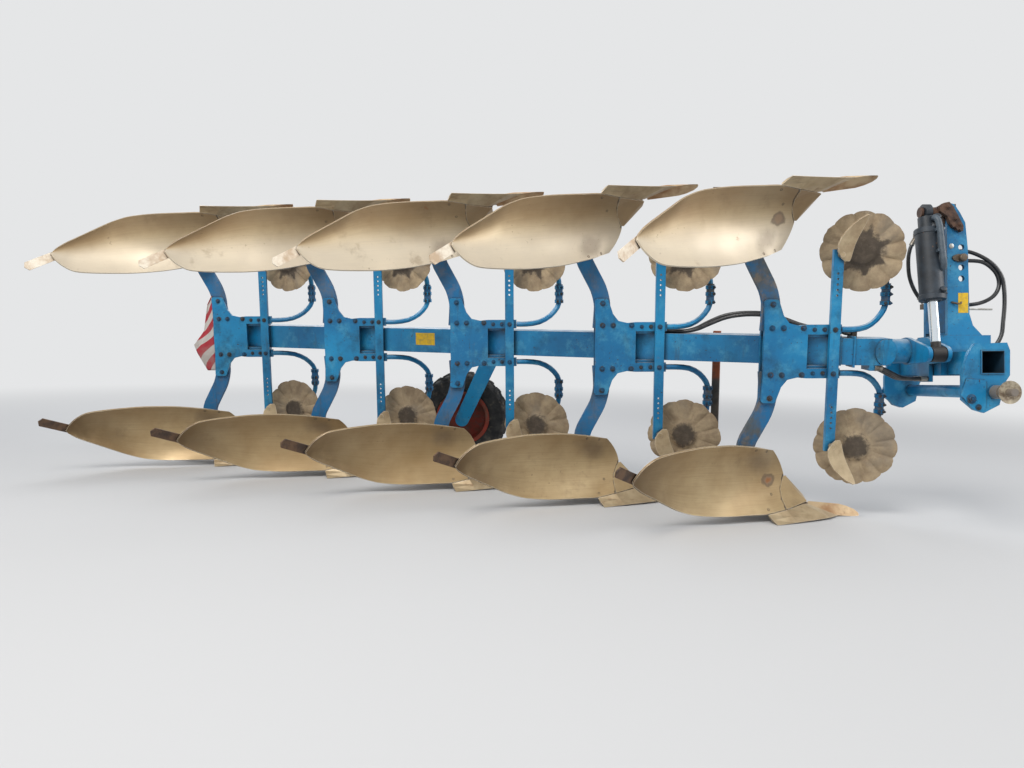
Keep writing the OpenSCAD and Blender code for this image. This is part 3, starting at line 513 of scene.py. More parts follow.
def earth_disc(name, reach, arms, spread):
    """Coulter disc caked in pale earth; a dark middle reaches out in ragged arms."""
    n = Nodes(name, roughness=0.88, metallic=0.03)
    radius = n.length(n.uv)
    n.colour = n.mottle((11, 8, 0.7, 0.35, 0.65), (178, 158, 128), (146, 127, 102))
    n.over(0.5, n.patch(5, 5, 0.55, 0.5, 0.7), (132, 124, 112))
    wave = n.line(n.angle(), arms, 0.7)
    arm = n.math("POWER", n.math("ABSOLUTE", n.math("COSINE", wave)), 9.0)
    ragged = n.both(n.math("SUBTRACT", n.noise(22, 8, 0.8), 0.5), 0.2)
    edge = n.math("SUBTRACT", n.math("SUBTRACT", radius, ragged), n.both(arm, spread))
    middle = n.fall(edge, reach - 0.02, reach + 0.04)
    n.over(0.92, middle, (70, 62, 54))
    n.over(0.6, n.both(middle, n.patch(24, 6, 0.7, 0.45, 0.65)), (104, 92, 80))
    rim = n.ramp(radius, 0.42, 0.46)
    n.over(0.5, rim, (134, 110, 82))
    # Painted shade in corners and gaps
    n.over(0.7, n.occlusion_shade(0.02), (92, 74, 56))
    n.bump(n.noise(55, 8, 0.75), 0.8, 0.005)
    return n.done()


def anchor_finish():
    """Rusty block that carries the cylinder's pin, on a painted back plate."""
    n = Nodes("anchor_finish", roughness=0.7)
    rust = n.mottle((20, 6, 0.7, 0.35, 0.65), (58, 42, 36), (98, 70, 52))
    n.colour = n.mottle((6, 6, 0.7, 0.4, 0.65), (10, 104, 156), (52, 84, 102))
    # Painted shade in corners and gaps
    n.over(0.8, n.occlusion_shade(0.06), (34, 42, 48))
    high = n.ramp(n.height, PLATE_TOP, PLATE_TOP + 0.01)
    n.colour = n.mix(high, n.colour, rust)
    n.bump(n.noise(90, 6, 0.7), 0.4, 0.0015)
    return n.done()


def chrome():
    """Polished rod that ends in a greasy eye on the crank's pin."""
    n = Nodes("chrome_rod", roughness=0.14, metallic=0.9)
    film = n.streaks(14, 5, 0.6, 0.2, 0.5, 0.75)
    n.colour = srgb(226, 234, 240)
    n.over(0.35, film, (176, 172, 160))
    eye = n.fall(n.length(n.place, ROD_EYE), 0.068, 0.074)
    n.over(1, eye, (40, 36, 34))
    n.put(n.shader.inputs["Metallic"], n.math("SUBTRACT", 0.9, eye))
    return n.done(n.line(eye, 0.4, 0.14))


def stand_paint():
    """Parking stand: bare grey brown, with old orange paint near its top."""
    n = Nodes("stand_paint", roughness=0.75)
    n.colour = n.mottle((12, 7, 0.7, 0.35, 0.65), (66, 66, 64), (98, 90, 80))
    band = n.both(n.ramp(n.height, 0.74, 0.78), n.patch(20, 6, 0.7, 0.3, 0.5))
    n.over(1, band, (156, 82, 46))
    n.bump(n.noise(70, 6, 0.7), 0.4, 0.002)
    return n.done()


def flag_cloth():
    """Red and white slanted warning stripes on a dusty woven cloth."""
    n = Nodes("flag_cloth", roughness=0.85)
    slant = n.math("ADD", n.axis(n.uv, "X"), n.axis(n.uv, "Y"))
    wave = n.math("FRACT", n.both(slant, 4.2))
    stripe = n.ramp(wave, 0.47, 0.53)
    n.colour = n.mix(stripe, srgb(196, 190, 184), srgb(170, 52, 62))
    n.over(0.45, n.patch(12, 6, 0.55, 0.4, 0.7), (140, 130, 122))
    n.bump(n.noise(400, 2, 0.5, n.stretch(n.uv, (1, 3, 1))), 0.3, 0.0006)
    return n.done()


# Finishes of two mottled tones. Columns: name, roughness, metallic, coat; patches of the second tone; the
# tones. Then for most: amount, patches and colour of a third tone; noise, strength and height of the bumps;
# amount, reach and colour of the painted shade in corners
PLAIN = {
    "rust": ("rusty_iron", 0.8, 0.1, 0, (20, 6, 0.7, 0.35, 0.65), (62, 46, 40), (98, 72, 56),
        (0.7, (8, 5, 0.55, 0.55, 0.7), (56, 52, 50)), ((90, 6, 0.7), 0.5, 0.002)),
    # The bolts' last column is painted shade in corners and gaps
    "bolt": ("bolt_finish", 0.55, 0.2, 0, (11, 6, 0.7, 0.42, 0.58), (22, 82, 118), (64, 62, 60),
        (0.7, (27, 5, 0.7, 0.55, 0.66), (96, 66, 48)), ((90, 5), 0.3, 0.001), (0.8, 0.015, (26, 30, 34))),
    "dark": ("dark_steel", 0.55, 0.5, 0, (16, 6, 0.7, 0.35, 0.65), (78, 72, 66), (112, 98, 82),
        (0.6, (30, 5, 0.7, 0.58, 0.68), (98, 64, 44)), ((90, 5), 0.3, 0.001)),
    "barrel": ("barrel_paint", 0.5, 0, 0.08, (9, 7, 0.7, 0.35, 0.7), (24, 30, 36), (46, 56, 66),
        (0.8, (60, 4, 0.55, 0.66, 0.72), (96, 72, 54)), ((110, 4), 0.2, 0.001)),
    "pipe": ("pipe_paint", 0.5, 0, 0.08, (9, 7, 0.7, 0.35, 0.7), (56, 68, 78), (84, 96, 106),
        (0.8, (60, 4, 0.55, 0.66, 0.72), (96, 72, 54)), ((110, 4), 0.2, 0.001)),
    "tyre": ("tyre_rubber", 0.85, 0, 0, (9, 6, 0.7, 0.35, 0.7), (30, 31, 32), (66, 65, 62),
        (0.5, (22, 5, 0.55, 0.52, 0.7), (108, 98, 84)), ((140, 4), 0.3, 0.001)),
    "rim": ("rim_paint", 0.6, 0, 0, (10, 7, 0.7, 0.4, 0.62), (150, 52, 34), (108, 60, 42),
        (0.6, (17, 5, 0.55, 0.52, 0.7), (96, 84, 74)), ((80, 5), 0.3, 0.001)),
    "hose": ("hose_rubber", 0.35, 0, 0.3, (24, 6, 0.55, 0.4, 0.7), (22, 23, 25), (52, 52, 52),
        None, ((160, 3), 0.2, 0.0006)),
    "plate": ("plain_plate", 0.5, 0, 0, (40, 5, 0.55, 0.4, 0.7), (226, 184, 30), (186, 156, 62)),
    "zinc": ("zinc_plate", 0.42, 0.7, 0, (30, 6, 0.7, 0.4, 0.65), (150, 146, 138), (104, 94, 82)),
    "pale": ("pale_metal", 0.45, 0.4, 0, (18, 6, 0.7, 0.4, 0.65), (206, 208, 204), (150, 146, 138)),
    "petal": ("ball_guides", 0.45, 0.4, 0, (18, 6, 0.7, 0.4, 0.65), (196, 184, 160), (120, 102, 84)),
}


def plain(name, roughness, metallic, coat, patch, first, second, third=None, bumps=None, dirt_and_shade=None):
    n = Nodes(name, roughness, metallic, coat)
    n.colour = n.mottle(patch, first, second)
    if third:
        amount, patch, tint = third
        n.over(amount, n.patch(*patch), tint)
    # Painted shade in corners and gaps, from ambient occlusion
    if dirt_and_shade:
        amount, reach, tint = dirt_and_shade
        n.over(amount, n.occlusion_shade(reach), tint)
    if bumps:
        n.bump(n.noise(*bumps[0]), *bumps[1:])
    return n.done()


MATERIALS = {
    "blue": blue_paint(),
    "tube": blue_paint("tube_paint", tube=True),
    "shaft": blue_paint("shaft_paint", shaft=True),
    "soiled": soiled_blue(),
    "board": board_steel("board_steel", True),
    "shin": board_steel("shin_steel", False),
    "share": share_steel("share_steel", (192, 172, 138), (160, 138, 106)),
    "point": share_steel("point_steel", (206, 180, 142), (158, 116, 78)),
    "skimmer": share_steel("skimmer_steel", (196, 176, 142), (160, 138, 108)),
    "tail_bar": tail_bar(),
    "disc_upper": earth_disc("upper_disc_earth", 0.2, 3.5, 0.07),
    "disc_lower": earth_disc("lower_disc_earth", 0.13, 3.0, 0.0),
    "anchor": anchor_finish(),
    "chrome": chrome(),
    "stand": stand_paint(),
    "flag": flag_cloth(),
    **{finish: plain(*row) for finish, row in PLAIN.items()},
}

# The CAD nodes of each finish, without the row or number that some names end with
CAD_NODES = {
    "blue": "tower bearing_housing link_plates turn_crank front_carrier main_beam leg_brackets "
            "skimmer_stalks coulter_arms wheel_beam wheel_arm stand_bracket",
    "tube": "cross_tube", "shaft": "lower_link_shaft", "petal": "link_balls", "soiled": "legs",
    "anchor": "cylinder_anchor", "barrel": "cylinder_barrel", "chrome": "cylinder_rod",
    "dark": "top_link_pin frogs hose_fittings hose_clamps", "rust": "landsides",
    "board": "moldboards", "shin": "shins", "share": "shares", "point": "points",
    "tail_bar": "extensions", "skimmer": "skimmers", "disc_lower": "disc", "rim": "wheel_rim",
    "tyre": "wheel_tyre", "stand": "parking_stand", "flag": "marker_flag",
    "hose": "headstock_hoses crank_hoses beam_hoses",
}
CAD_FINISH = {node: finish for finish, nodes in CAD_NODES.items() for node in nodes.split()}


def finish_of(node):
    """The finish of a CAD node, by its whole name or by the name before its row or number."""
    if node in CAD_FINISH:
        return CAD_FINISH[node]
    return next(finish for start, finish in CAD_FINISH.items() if node.startswith(start + "_"))


for name, node in frame["nodes"].items():
    node.data.materials.clear()
    node.data.materials.append(MATERIALS[finish_of(name)])

for hose in HOSES:
    hose.data.materials.append(MATERIALS["hose"])


# Mesh building


class Shape:
    """Gathers faces in one mesh; every point passes through the current matrix."""

    def __init__(self, matrix=None):
        self.mesh = bmesh.new()
        self.uv = self.mesh.loops.layers.uv.new("UVMap")
        self.matrix = matrix or Matrix.Identity(4)

    def point(self, p):
        return self.mesh.verts.new(self.matrix @ Vector(p))

    def face(self, verts, uvs=None):
        face = self.mesh.faces.new(verts)
        face.smooth = True
        if uvs:
            for loop, uv in zip(face.loops, uvs):
                loop[self.uv].uv = uv
        return face

    def sheet(self, rows, uvs=None, closed=False):
        """Quads over a grid of points; closed joins each row's end to its start."""
        verts = [[self.point(p) for p in row] for row in rows]
        count = len(rows[0])
        last = count if closed else count - 1
        for i in range(len(rows) - 1):
            for j in range(last):
                k = (j + 1) % count
                corners = [(i, j), (i + 1, j), (i + 1, k), (i, k)]
                around = [uvs[a][b] for a, b in corners] if uvs else None
                self.face([verts[a][b] for a, b in corners], around)
        return verts

    def revolve(self, profile, matrix, segments=48):
        """Turns a profile of (radius, height) pairs round the matrix's Z axis."""
        rows = [[matrix @ polar(radius, a, height) for a in turns(segments)] for radius, height in profile]
        return self.sheet(rows, closed=True)

    def bolt(self, centre, axis, size=0.011, height=0.013, washer=1.75):
        """Hexagon head on a washer, standing out of a face along the axis."""
        spot = facing(centre, axis)
        ring = size * washer
        self.revolve([(0, 0.003), (ring * 0.94, 0.003), (ring, 0.002), (ring, -0.001)], spot, 20)
        head = [(size * 1.155, 0.003), (size * 1.155, height * 0.8), (size * 0.95, height), (0, height)]
        self.revolve(head, spot, 6)
        stud = [(size * 0.55, height), (size * 0.55, height + 0.005), (0, height + 0.006)]
        self.revolve(stud, spot, 10)

    def tube(self, path, radius, sides=12):
        """Round tube along a path, with flat ends."""
        path = [Vector(p) for p in path]
        rings = []
        side = None
        for i, p in enumerate(path):
            ahead = (path[min(i + 1, len(path) - 1)] - path[max(i - 1, 0)]).normalized()
            if side is None:
                side = ahead.orthogonal().normalized()
            side = (side - ahead * side.dot(ahead)).normalized()
            other = ahead.cross(side)
            r = radius(i) if callable(radius) else radius
            rings.append([p + r * (side * math.cos(a) + other * math.sin(a)) for a in turns(sides)])
        verts = self.sheet(rings, closed=True)
        self.face(verts[0])
        self.face(verts[-1])

    def block(self, low, high):
        """Box between two corners."""
        (x0, y0, z0), (x1, y1, z1) = low, high
        corners = [self.point((x, y, z)) for x in (x0, x1) for y in (y0, y1) for z in (z0, z1)]
        for quad in ((0, 1, 3, 2), (4, 6, 7, 5), (0, 4, 5, 1), (2, 3, 7, 6), (0, 2, 6, 4), (1, 5, 7, 3)):
            self.face([corners[i] for i in quad])

    def slab(self, outline, low, high):
        """Plate whose outline lies in X and Z, between two values of Y."""
        near = [self.point((x, low, z)) for x, z in outline]
        far = [self.point((x, high, z)) for x, z in outline]
        self.face(near)
        self.face(far)
        for k in range(len(outline)):
            m = (k + 1) % len(outline)
            self.face([near[k], near[m], far[m], far[k]])

    def build(self, name, body, finish, slot, replaced=(), angle=40, bevel=0.0):
        bmesh.ops.recalc_face_normals(self.mesh, faces=self.mesh.faces)
        data = bpy.data.meshes.new(name)
        self.mesh.to_mesh(data)
        self.mesh.free()
        data.materials.append(MATERIALS[finish])
        piece = add_object(name, data)
        data.set_sharp_from_angle(angle=math.radians(angle))
        if bevel:
            rounding = piece.modifiers.new("rounding", "BEVEL")
            rounding.width = bevel
            rounding.segments = 2
            rounding.limit_method = "ANGLE"
        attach(piece, body)
        if replaced:
            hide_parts(*replaced)
        return piece


# Stations along the moldboard. Columns: lower edge x, y, drop, upper edge x, y, drop,
# and how far the middle bows back, in x and in y
BOARD_STATIONS = metres([
    (75, -135, 865, 35, 0, 560, 60, 110), (-32, -161, 883, -54, -95, 531, 38, 100),
    (-134, -195, 879, -155, -168, 506, 12, 88), (-226, -228, 874, -255, -240, 485, 0, 80),
    (-314, -258, 868, -352, -307, 473, -8, 72), (-401, -280, 859, -446, -365, 466, -14, 66),
    (-482, -300, 845, -539, -431, 465, -20, 60), (-567, -335, 811, -633, -500, 467, -22, 50),
    (-649, -400, 757, -718, -555, 476, -22, 38), (-724, -462, 706, -775, -577, 505, -18, 25),
    (-795, -525, 656, -818, -590, 545, -10, 12), (-846, -575, 608, -848, -592, 588, 0, 2),
])
BOARD_STEPS = 4
BOARD_ROWS = 21
SHIN_TOP = 0.5
SEAM_PULL = 0.34


def board_point(along, v):
    """A point of the board; below the shin's top its first span is drawn along by the curved seam."""
    if along < 1 and v < SHIN_TOP:
        along += (1 - along) * SEAM_PULL * math.sin(math.pi * v / SHIN_TOP)
    x0, y0, drop0, x1, y1, drop1, bow_x, bow_y = spline(BOARD_STATIONS, along)
    bow = Vector((bow_x, bow_y, 0)) * 4 * v * (1 - v)
    return Vector((x0, y0, -drop0)).lerp(Vector((x1, y1, -drop1)), v) + bow


def grid_normal(grid, i, j):
    u = grid[min(i + 1, len(grid) - 1)][j] - grid[max(i - 1, 0)][j]
    v = grid[i][min(j + 1, len(grid[0]) - 1)] - grid[i][max(j - 1, 0)]
    return u.cross(v).normalized()


def add_plate(shape, grid, thick, uvs):
    """Plate of even thickness behind a grid."""
    rows, columns = len(grid), len(grid[0])
    back = [[grid[i][j] + thick * grid_normal(grid, i, j) for j in range(columns)] for i in range(rows)]
    front_verts = shape.sheet(grid, uvs)
    back_verts = shape.sheet(back, uvs)
    rim = [(i, 0) for i in range(rows)] + [(rows - 1, j) for j in range(1, columns)]
    rim += [(i, columns - 1) for i in range(rows - 2, -1, -1)]
    rim += [(0, j) for j in range(columns - 2, 0, -1)]
    for (a, b), (c, d) in zip(rim, rim[1:] + rim[:1]):
        corners = [front_verts[a][b], front_verts[c][d], back_verts[c][d], back_verts[a][b]]
        shape.face(corners, [uvs[a][b], uvs[c][d], uvs[c][d], uvs[a][b]])


# Countersunk bolts of a moldboard: distance along it and up it, both from 0 to 1
BOARD_BOLTS = [(0.068, 0.93), (0.137, 0.94), (0.07, 0.24), (0.09, 0.05)]
# Radius and height along a head, which is hollow in the middle
BOARD_BOLT_HEAD = [(0.008, -0.001), (0.008, 0.0006), (0.0045, 0.0008), (0.004, -0.001), (0, -0.001)]


def make_boards(row):
    spans = len(BOARD_STATIONS) - 1
    count = spans * BOARD_STEPS
    uvs = [[(i / count, j / BOARD_ROWS) for j in range(BOARD_ROWS + 1)] for i in range(count + 1)]
    grid = [[board_point(i * spans / count, v) for _, v in uvs[i]] for i in range(count + 1)]
    skins, bolts = Shape(), Shape()
    for i in range(FURROWS):
        skins.matrix = bolts.matrix = furrow_matrix(i, SIDES[row])
        add_plate(skins, grid, BOARD_THICK, uvs)
        for along, up in BOARD_BOLTS:
            a, b = round(along * count), round(up * BOARD_ROWS)
            bolts.revolve(BOARD_BOLT_HEAD, facing(grid[a][b], -grid_normal(grid, a, b)), 16)
    replaced = [f"moldboards_{row}"]
    skins.build(f"moldboard_skins_{row}", "frame", "board", "board_steel", replaced, angle=50)
    bolts.build(f"board_bolts_{row}", "frame", "dark", "dark_steel")


# Disc coulters: deep creases pressed into the earth on them, as angle in degrees and depth
DISC_CREASES = [(20, 1.0), (75, 0.6), (130, 0.9), (200, 0.7), (265, 1.0), (320, 0.8)]
DISC_RINGS = [r / 1000 for r in (20, 50, 68, 76, 85, 100, 115, 130, 145, 160, 175, 190, 200, 208, 214, 218)]
# Radius of the rim below which the rings draw in with it
DISC_FULL = 0.2185
DISC_HUB = [(0.019, 0.056), (0.044, 0.056), (0.046, 0.054), (0.046, 0.018), (0.062, 0.012), (0.066, 0.003)]
DISC_SEGMENTS = 192


def disc_lobe(angle):
    """0 in the notches of the rim and 1 in the middle of its lobes."""
    return abs(math.cos(DISC_LOBES * angle / 2))


def disc_height(r, angle, turn, seed):
    """Flutes of the blade, the clod round the hub and lumps of earth, along the disc's axis."""
    reach = min(1, max(0, (r - 0.085) / 0.09))
    flute = 0.013 * reach * (0.55 - disc_lobe(angle) ** 0.7)
    crease = 0
    for degrees, depth in DISC_CREASES:
        off = (math.degrees(angle) - degrees - turn + 180) % 360 - 180
        width = 3.2 + 30 * max(0, r - 0.12)
        crease += depth * 0.007 * math.exp(-(off / width) ** 2) * math.exp(-((r - 0.15) / 0.045) ** 2)
    clod = 0.016 if r < 0.07 else 0.016 * math.exp(-((r - 0.07) / 0.006) ** 2)
    place = polar(r, angle, seed)
    lumps = noise.noise(place * 45)
    broad = noise.noise(place * 14)
    return -clod * (1 + 0.35 * lumps) + flute + crease + 0.0016 * lumps + 0.005 * reach * broad


def disc_edge(angle, seed):
    """Outline of the scalloped rim, ragged with earth and chipped."""
    place = polar(1, angle, seed)
    ragged = 0.006 * abs(noise.noise(place * 2.3)) + 0.005 * abs(noise.noise(place * 7))
    return DISC_RADIUS - 0.001 - 0.011 * (1 - disc_lobe(angle) ** 0.6) - ragged


def make_disc(row, number):
    shape = Shape(joint_frame(joints[f"disc_{row}_{number}_spin"]))
    seed = number * 3.7 + (11 if SIDES[row] else 0)
    turn = number * 47 + (20 if SIDES[row] else 0)
    fronts, backs, uvs = [], [], []
    for level in range(len(DISC_RINGS) + 1):
        front, back, around = [], [], []
        rim = level == len(DISC_RINGS)
        for angle in turns(DISC_SEGMENTS):
            edge = disc_edge(angle, seed)
            r = edge if rim else DISC_RINGS[level] * min(1, edge / DISC_FULL)
            h = disc_height(r, angle, turn, seed)
            front.append(polar(r, angle, h))
            back.append(polar(r, angle, max(h, -0.004) + (0.0015 if rim else 0.005)))
            a = angle - math.radians(turn)
            around.append((0.5 + r * math.cos(a) / 0.5, 0.5 + r * math.sin(a) / 0.5))
        fronts.append(front)
        backs.append(back)
        uvs.append(around)
    first = shape.sheet(fronts, uvs, closed=True)
    last = shape.sheet(backs, uvs, closed=True)[-1]
    for k in range(DISC_SEGMENTS):
        m = (k + 1) % DISC_SEGMENTS
        shape.face([first[-1][k], first[-1][m], last[m], last[k]])
    cap = [(0.5 + 0.04 * math.cos(k), 0.5 + 0.04 * math.sin(k)) for k in range(DISC_SEGMENTS)]
    shape.face(first[0], cap)
    shape.revolve(DISC_HUB, Matrix.Identity(4), 40)
    name, replaced = f"coulter_blade_{row}_{number}", [f"disc_{row}_{number}"]
    shape.build(name, f"coulter_{row}_{number}", f"disc_{row}", "disc_steel", replaced, angle=70)


# Bolts


BRACKET_BOLTS = [(0.0, 0.131), (0.063, 0.131), (0.174, 0.131), (0.0, 0.262)]
CLAMP_BOLTS = [0.235, 0.290]
STALK_PLACE = (0.340, 0.122)
STALK_FRONT = -0.032


def make_bracket_bolts():
    shape = Shape()
    for i in range(FURROWS):
        for upper in (False, True):
            shape.matrix = furrow_matrix(i, upper)
            for x, drop in BRACKET_BOLTS:
                shape.bolt((x, BRACKET_FRONT, -drop), (0, -1, 0), 0.0095, 0.012)
            for x in CLAMP_BOLTS:
                shape.bolt((x, BRACKET_FRONT, -STALK_PLACE[1]), (0, -1, 0), 0.007, 0.009)
            shape.bolt((STALK_PLACE[0], STALK_FRONT, -STALK_PLACE[1]), (0, -1, 0), 0.0085, 0.01)
    shape.build("bracket_bolts", "frame", "bolt", "dark_steel")


# Collars on the coulters' swivels: their gaps and their clamp bolts, as drops below the beam
SWIVEL = (0.665, 0.092)
SWIVEL_RADIUS = 0.029
COLLAR_GAPS = [(0.3025, 0.2755), (0.3425, 0.3255), (0.3745, 0.3655)]
COLLAR_MIDDLES = [0.264, 0.314, 0.354]


def make_knuckles():
    dirt_and_shade, bolts = Shape(), Shape()
    for i in range(FURROWS):
        for upper in (False, True):
            dirt_and_shade.matrix = bolts.matrix = furrow_matrix(i, upper)
            spot = Matrix.Translation((*SWIVEL, 0))
            for low, high in COLLAR_GAPS:
                middle = (low + high) / 2
                ring = [(0.021, -low), (0.0245, -low), (0.0235, -middle), (0.0245, -high), (0.021, -high)]
                dirt_and_shade.revolve(ring, spot, 24)
            for drop in COLLAR_MIDDLES:
                for angle in (250, 300):
                    out = polar(1, math.radians(angle))
                    place = Vector((*SWIVEL, -drop)) + out * (SWIVEL_RADIUS - 0.002)
                    bolts.bolt(place, out, 0.0075, 0.011, 1.3)
    dirt_and_shade.build("swivel_grime", "frame", "soiled", "dark_steel")
    bolts.build("swivel_bolts", "frame", "bolt", "dark_steel")


# Turnover cylinder. Its own frame has Z up along it, with the upper pin at zero
CYLINDER_RUN = CRANK_PIN - CYLINDER_TOP
CYLINDER_LEAN = math.atan2(CYLINDER_RUN.y, -CYLINDER_RUN.z)
CYLINDER = HEADSTOCK @ Matrix.Translation(CYLINDER_TOP) @ Matrix.Rotation(CYLINDER_LEAN, 4, "X")
BARREL_RADIUS = 0.062
BARREL_END = 0.49
BARREL_HEAD = 0.094
HARD_PIPE = metres([
    (12, -52, -45), (20, -70, -60), (26, -76, -95), (28, -78, -150), (30, -78, -240), (34, -75, -290),
    (40, -62, -318), (42, -46, -326),
])


def make_cylinder_details():
    """Gland, head ring, welded ports and the hard pipe that joins them on the barrel."""
    shape = Shape(CYLINDER)
    r = BARREL_RADIUS
    gland = [(0.027, -0.006), (0.044, -0.006), (0.046, 0)]
    gland += [(r - 0.004, 0), (r + 0.0045, 0.001), (r + 0.0045, 0.026), (r - 0.001, 0.031)]
    shape.revolve(gland, Matrix.Translation((0, 0, -BARREL_END)))
    head = [(r - 0.001, -0.034), (r + 0.004, -0.030), (r + 0.004, -0.004), (r - 0.01, 0.001), (0.043, 0.001)]
    shape.revolve(head, Matrix.Translation((0, 0, -BARREL_HEAD)))
    for height in (-0.05, -0.452):
        port = Matrix.Translation((0.03, -0.045, height)) @ Matrix.Rotation(math.radians(60), 4, "X")
        shape.revolve([(0.017, -0.012), (0.017, 0.024), (0.013, 0.026), (0, 0.026)], port, 20)
    shape.bolt((r - 0.003, 0.004, -0.448), (1, 0, 0), 0.012, 0.02, 1.2)
    shape.build("barrel_rings", "cylinder_barrel", "barrel", "barrel_paint", bevel=0.001)
    pipe = Shape(CYLINDER)
    pipe.tube(smooth_path(HARD_PIPE, 4), 0.0165, 16)
    for height in (-0.12, -0.235):
        pipe.block((0.006, -0.082, height - 0.008), (0.050, -0.052, height + 0.008))
    pipe.build("barrel_pipe", "cylinder_barrel", "pipe", "barrel_paint", bevel=0.001)


# Headstock. X and Z in its own frame
TOWER_FACE = -0.12
HANGER = metres([
    (861, 776), (886, 792), (914, 797), (936, 772), (962, 722), (990, 668), (988, 642), (978, 636),
    (968, 650), (958, 645), (946, 662), (934, 660), (918, 684), (902, 722), (880, 736), (864, 748),
])
PIN_PLACE = (0.992, 0.498)
HOOK = metres([(936, -124, 258), (945, -134, 254), (960, -137, 250), (978, -136, 251), (984, -130, 258)])


def make_tower_details():
    """Rusty hanger at the tower's top, the top link pin's locking plate, a cap and a hook."""
    hanger = Shape(HEADSTOCK)
    hanger.slab(HANGER, TOWER_FACE - 0.026, TOWER_FACE - 0.0005)
    for x, z in ((0.905, 0.768), (0.945, 0.704), (0.966, 0.674)):
        hanger.bolt((x, TOWER_FACE - 0.0255, z), (0, -1, 0), 0.008, 0.011)
    hanger.build("rusty_hanger", "headstock", "rust", "rust", bevel=0.002)
    lock = Shape(HEADSTOCK)
    x, z = PIN_PLACE
    oval = [(x - 0.012 + 0.040 * math.cos(a), z + 0.020 * math.sin(a)) for a in turns(24)]
    lock.slab(oval, TOWER_FACE - 0.010, TOWER_FACE - 0.0005)
    head = [(0.0, 0.0185), (0.014, 0.0185), (0.0205, 0.014), (0.0215, 0.002), (0.0215, -0.002)]
    outward = Matrix.Rotation(math.pi / 2, 4, "X")
    lock.revolve(head, Matrix.Translation((x, TOWER_FACE - 0.012, z)) @ outward, 24)
    lock.tube(smooth_path(HOOK, 4), 0.0055, 10)
    lock.build("top_link_lock", "headstock", "dark", "dark_steel", bevel=0.001)
    pale = Shape(HEADSTOCK)
    cap = [(0.0135, -0.0005), (0.0135, 0.0015), (0.0115, 0.003), (0, 0.0035)]
    pale.revolve(cap, Matrix.Translation((0.9383, TOWER_FACE, 0.563)) @ outward, 24)
    pale.tube([(1.02, -0.110, 0.2225), (1.163, -0.110, 0.2200)], 0.0055, 12)
    pale.build("worn_cap_and_rod", "headstock", "pale", "dark_steel")
    bolts = Shape(HEADSTOCK)
    bolts.bolt((0.8648, -0.421, -0.258), (0, -1, 0), 0.014, 0.012)
    bolts.bolt((0.900, -0.421, -0.300), (0, -1, 0), 0.009, 0.009)
    bolts.build("headstock_bolts", "headstock", "bolt", "dark_steel")


PLATE_THICK = 0.0008
TOWER_PLATE = [(0.974, 0.201), (1.028, 0.201), (1.028, 0.309), (0.974, 0.309)]
BEAM_PLATE = [(-0.072, -0.030), (0.072, -0.030), (0.072, 0.052), (-0.072, 0.052)]


def make_blank_plates():
    """Yellow plates, left blank: one on the tower and one on the beam."""
    tower = Shape(HEADSTOCK)
    tower.slab(TOWER_PLATE, TOWER_FACE - PLATE_THICK, TOWER_FACE)
    tower.build("yellow_plate_tower", "headstock", "plate", "blue_paint")
    side = 0.2 - (BEAM_PLATE_X - 0.08) * math.tan(SKEW) - BEAM_HALF / math.cos(SKEW)
    place = Matrix.Translation((BEAM_PLATE_X, side, 0))
    beam = Shape(PARKED @ place @ Matrix.Rotation(-SKEW, 4, "Z"))
    beam.slab(BEAM_PLATE, -PLATE_THICK, 0)
    beam.build("yellow_plate_beam", "frame", "plate", "blue_paint")


SLEEVE_LENGTH = 0.042


def make_hose_ends():
    """Crimped sleeves where each hose meets its fitting."""
    shapes = {"headstock": Shape(), "frame": Shape()}
    for node, route in ROUTES.values():
        body, place = hose_base(node)
        path = smooth_path(route, 12)
        for end in (path, path[::-1]):
            run = [place @ p for p in end if (p - end[0]).length < SLEEVE_LENGTH]
            shapes[body].tube(run, lambda i: 0.0145 if i % 4 else 0.0135, 14)
    for body, shape in shapes.items():
        shape.build(f"hose_sleeves_{body}", body, "zinc", "dark_steel")


# Depth wheel's tyre


LUG_COUNT = 24


def make_tyre():
    shape = Shape(joint_frame(joints["wheel_spin"]))
    tread = TYRE_RADIUS - 0.014
    w = TYRE_HALF_WIDTH
    half = [
        (0.206, 0.08), (0.214, 0.086), (0.236, w - 0.006), (0.27, w), (0.31, w - 0.002),
        (tread - 0.01, w - 0.016), (tread, w - 0.034),
    ]
    profile = [(r, -z) for r, z in half] + [(tread + 0.002, 0)] + half[::-1]
    shape.revolve(profile, Matrix.Identity(4), 96)
    for k in range(LUG_COUNT):
        for s in (-1, 1):
            start = 2 * math.pi * (k + (0.25 if s > 0 else -0.25)) / LUG_COUNT
            rows = []
            for t, width in ((0.0, 0.013), (0.35, 0.013), (0.75, 0.015), (1.0, 0.016)):
                angle = start + t * 0.16
                across = s * (0.004 + t * (w - 0.01))
                drop = 0.0 if t < 0.9 else 0.022
                base = (tread - 0.006 - drop, 1.25 * width / TYRE_RADIUS)
                top = (TYRE_RADIUS - 0.001 - drop, 0.8 * width / TYRE_RADIUS)
                sides = ((base, -1), (top, -1), (top, 1), (base, 1))
                rows.append([polar(radius, angle + side * wide, across) for (radius, wide), side in sides])
            verts = shape.sheet(rows)
            shape.face(verts[0])
            shape.face(verts[-1])
    shape.build("lugged_tyre", "wheel", "tyre", "tyre", ["wheel_tyre"], angle=35)


# Marker flag


FLAG_PLACE = (-3.652, 1.409, 0.0)
# X and Z down the flag's free edge
FLAG_EDGE = metres([(4, 300), (-30, 240), (-70, 40), (-150, -60), (-130, -120), (-60, -250)])


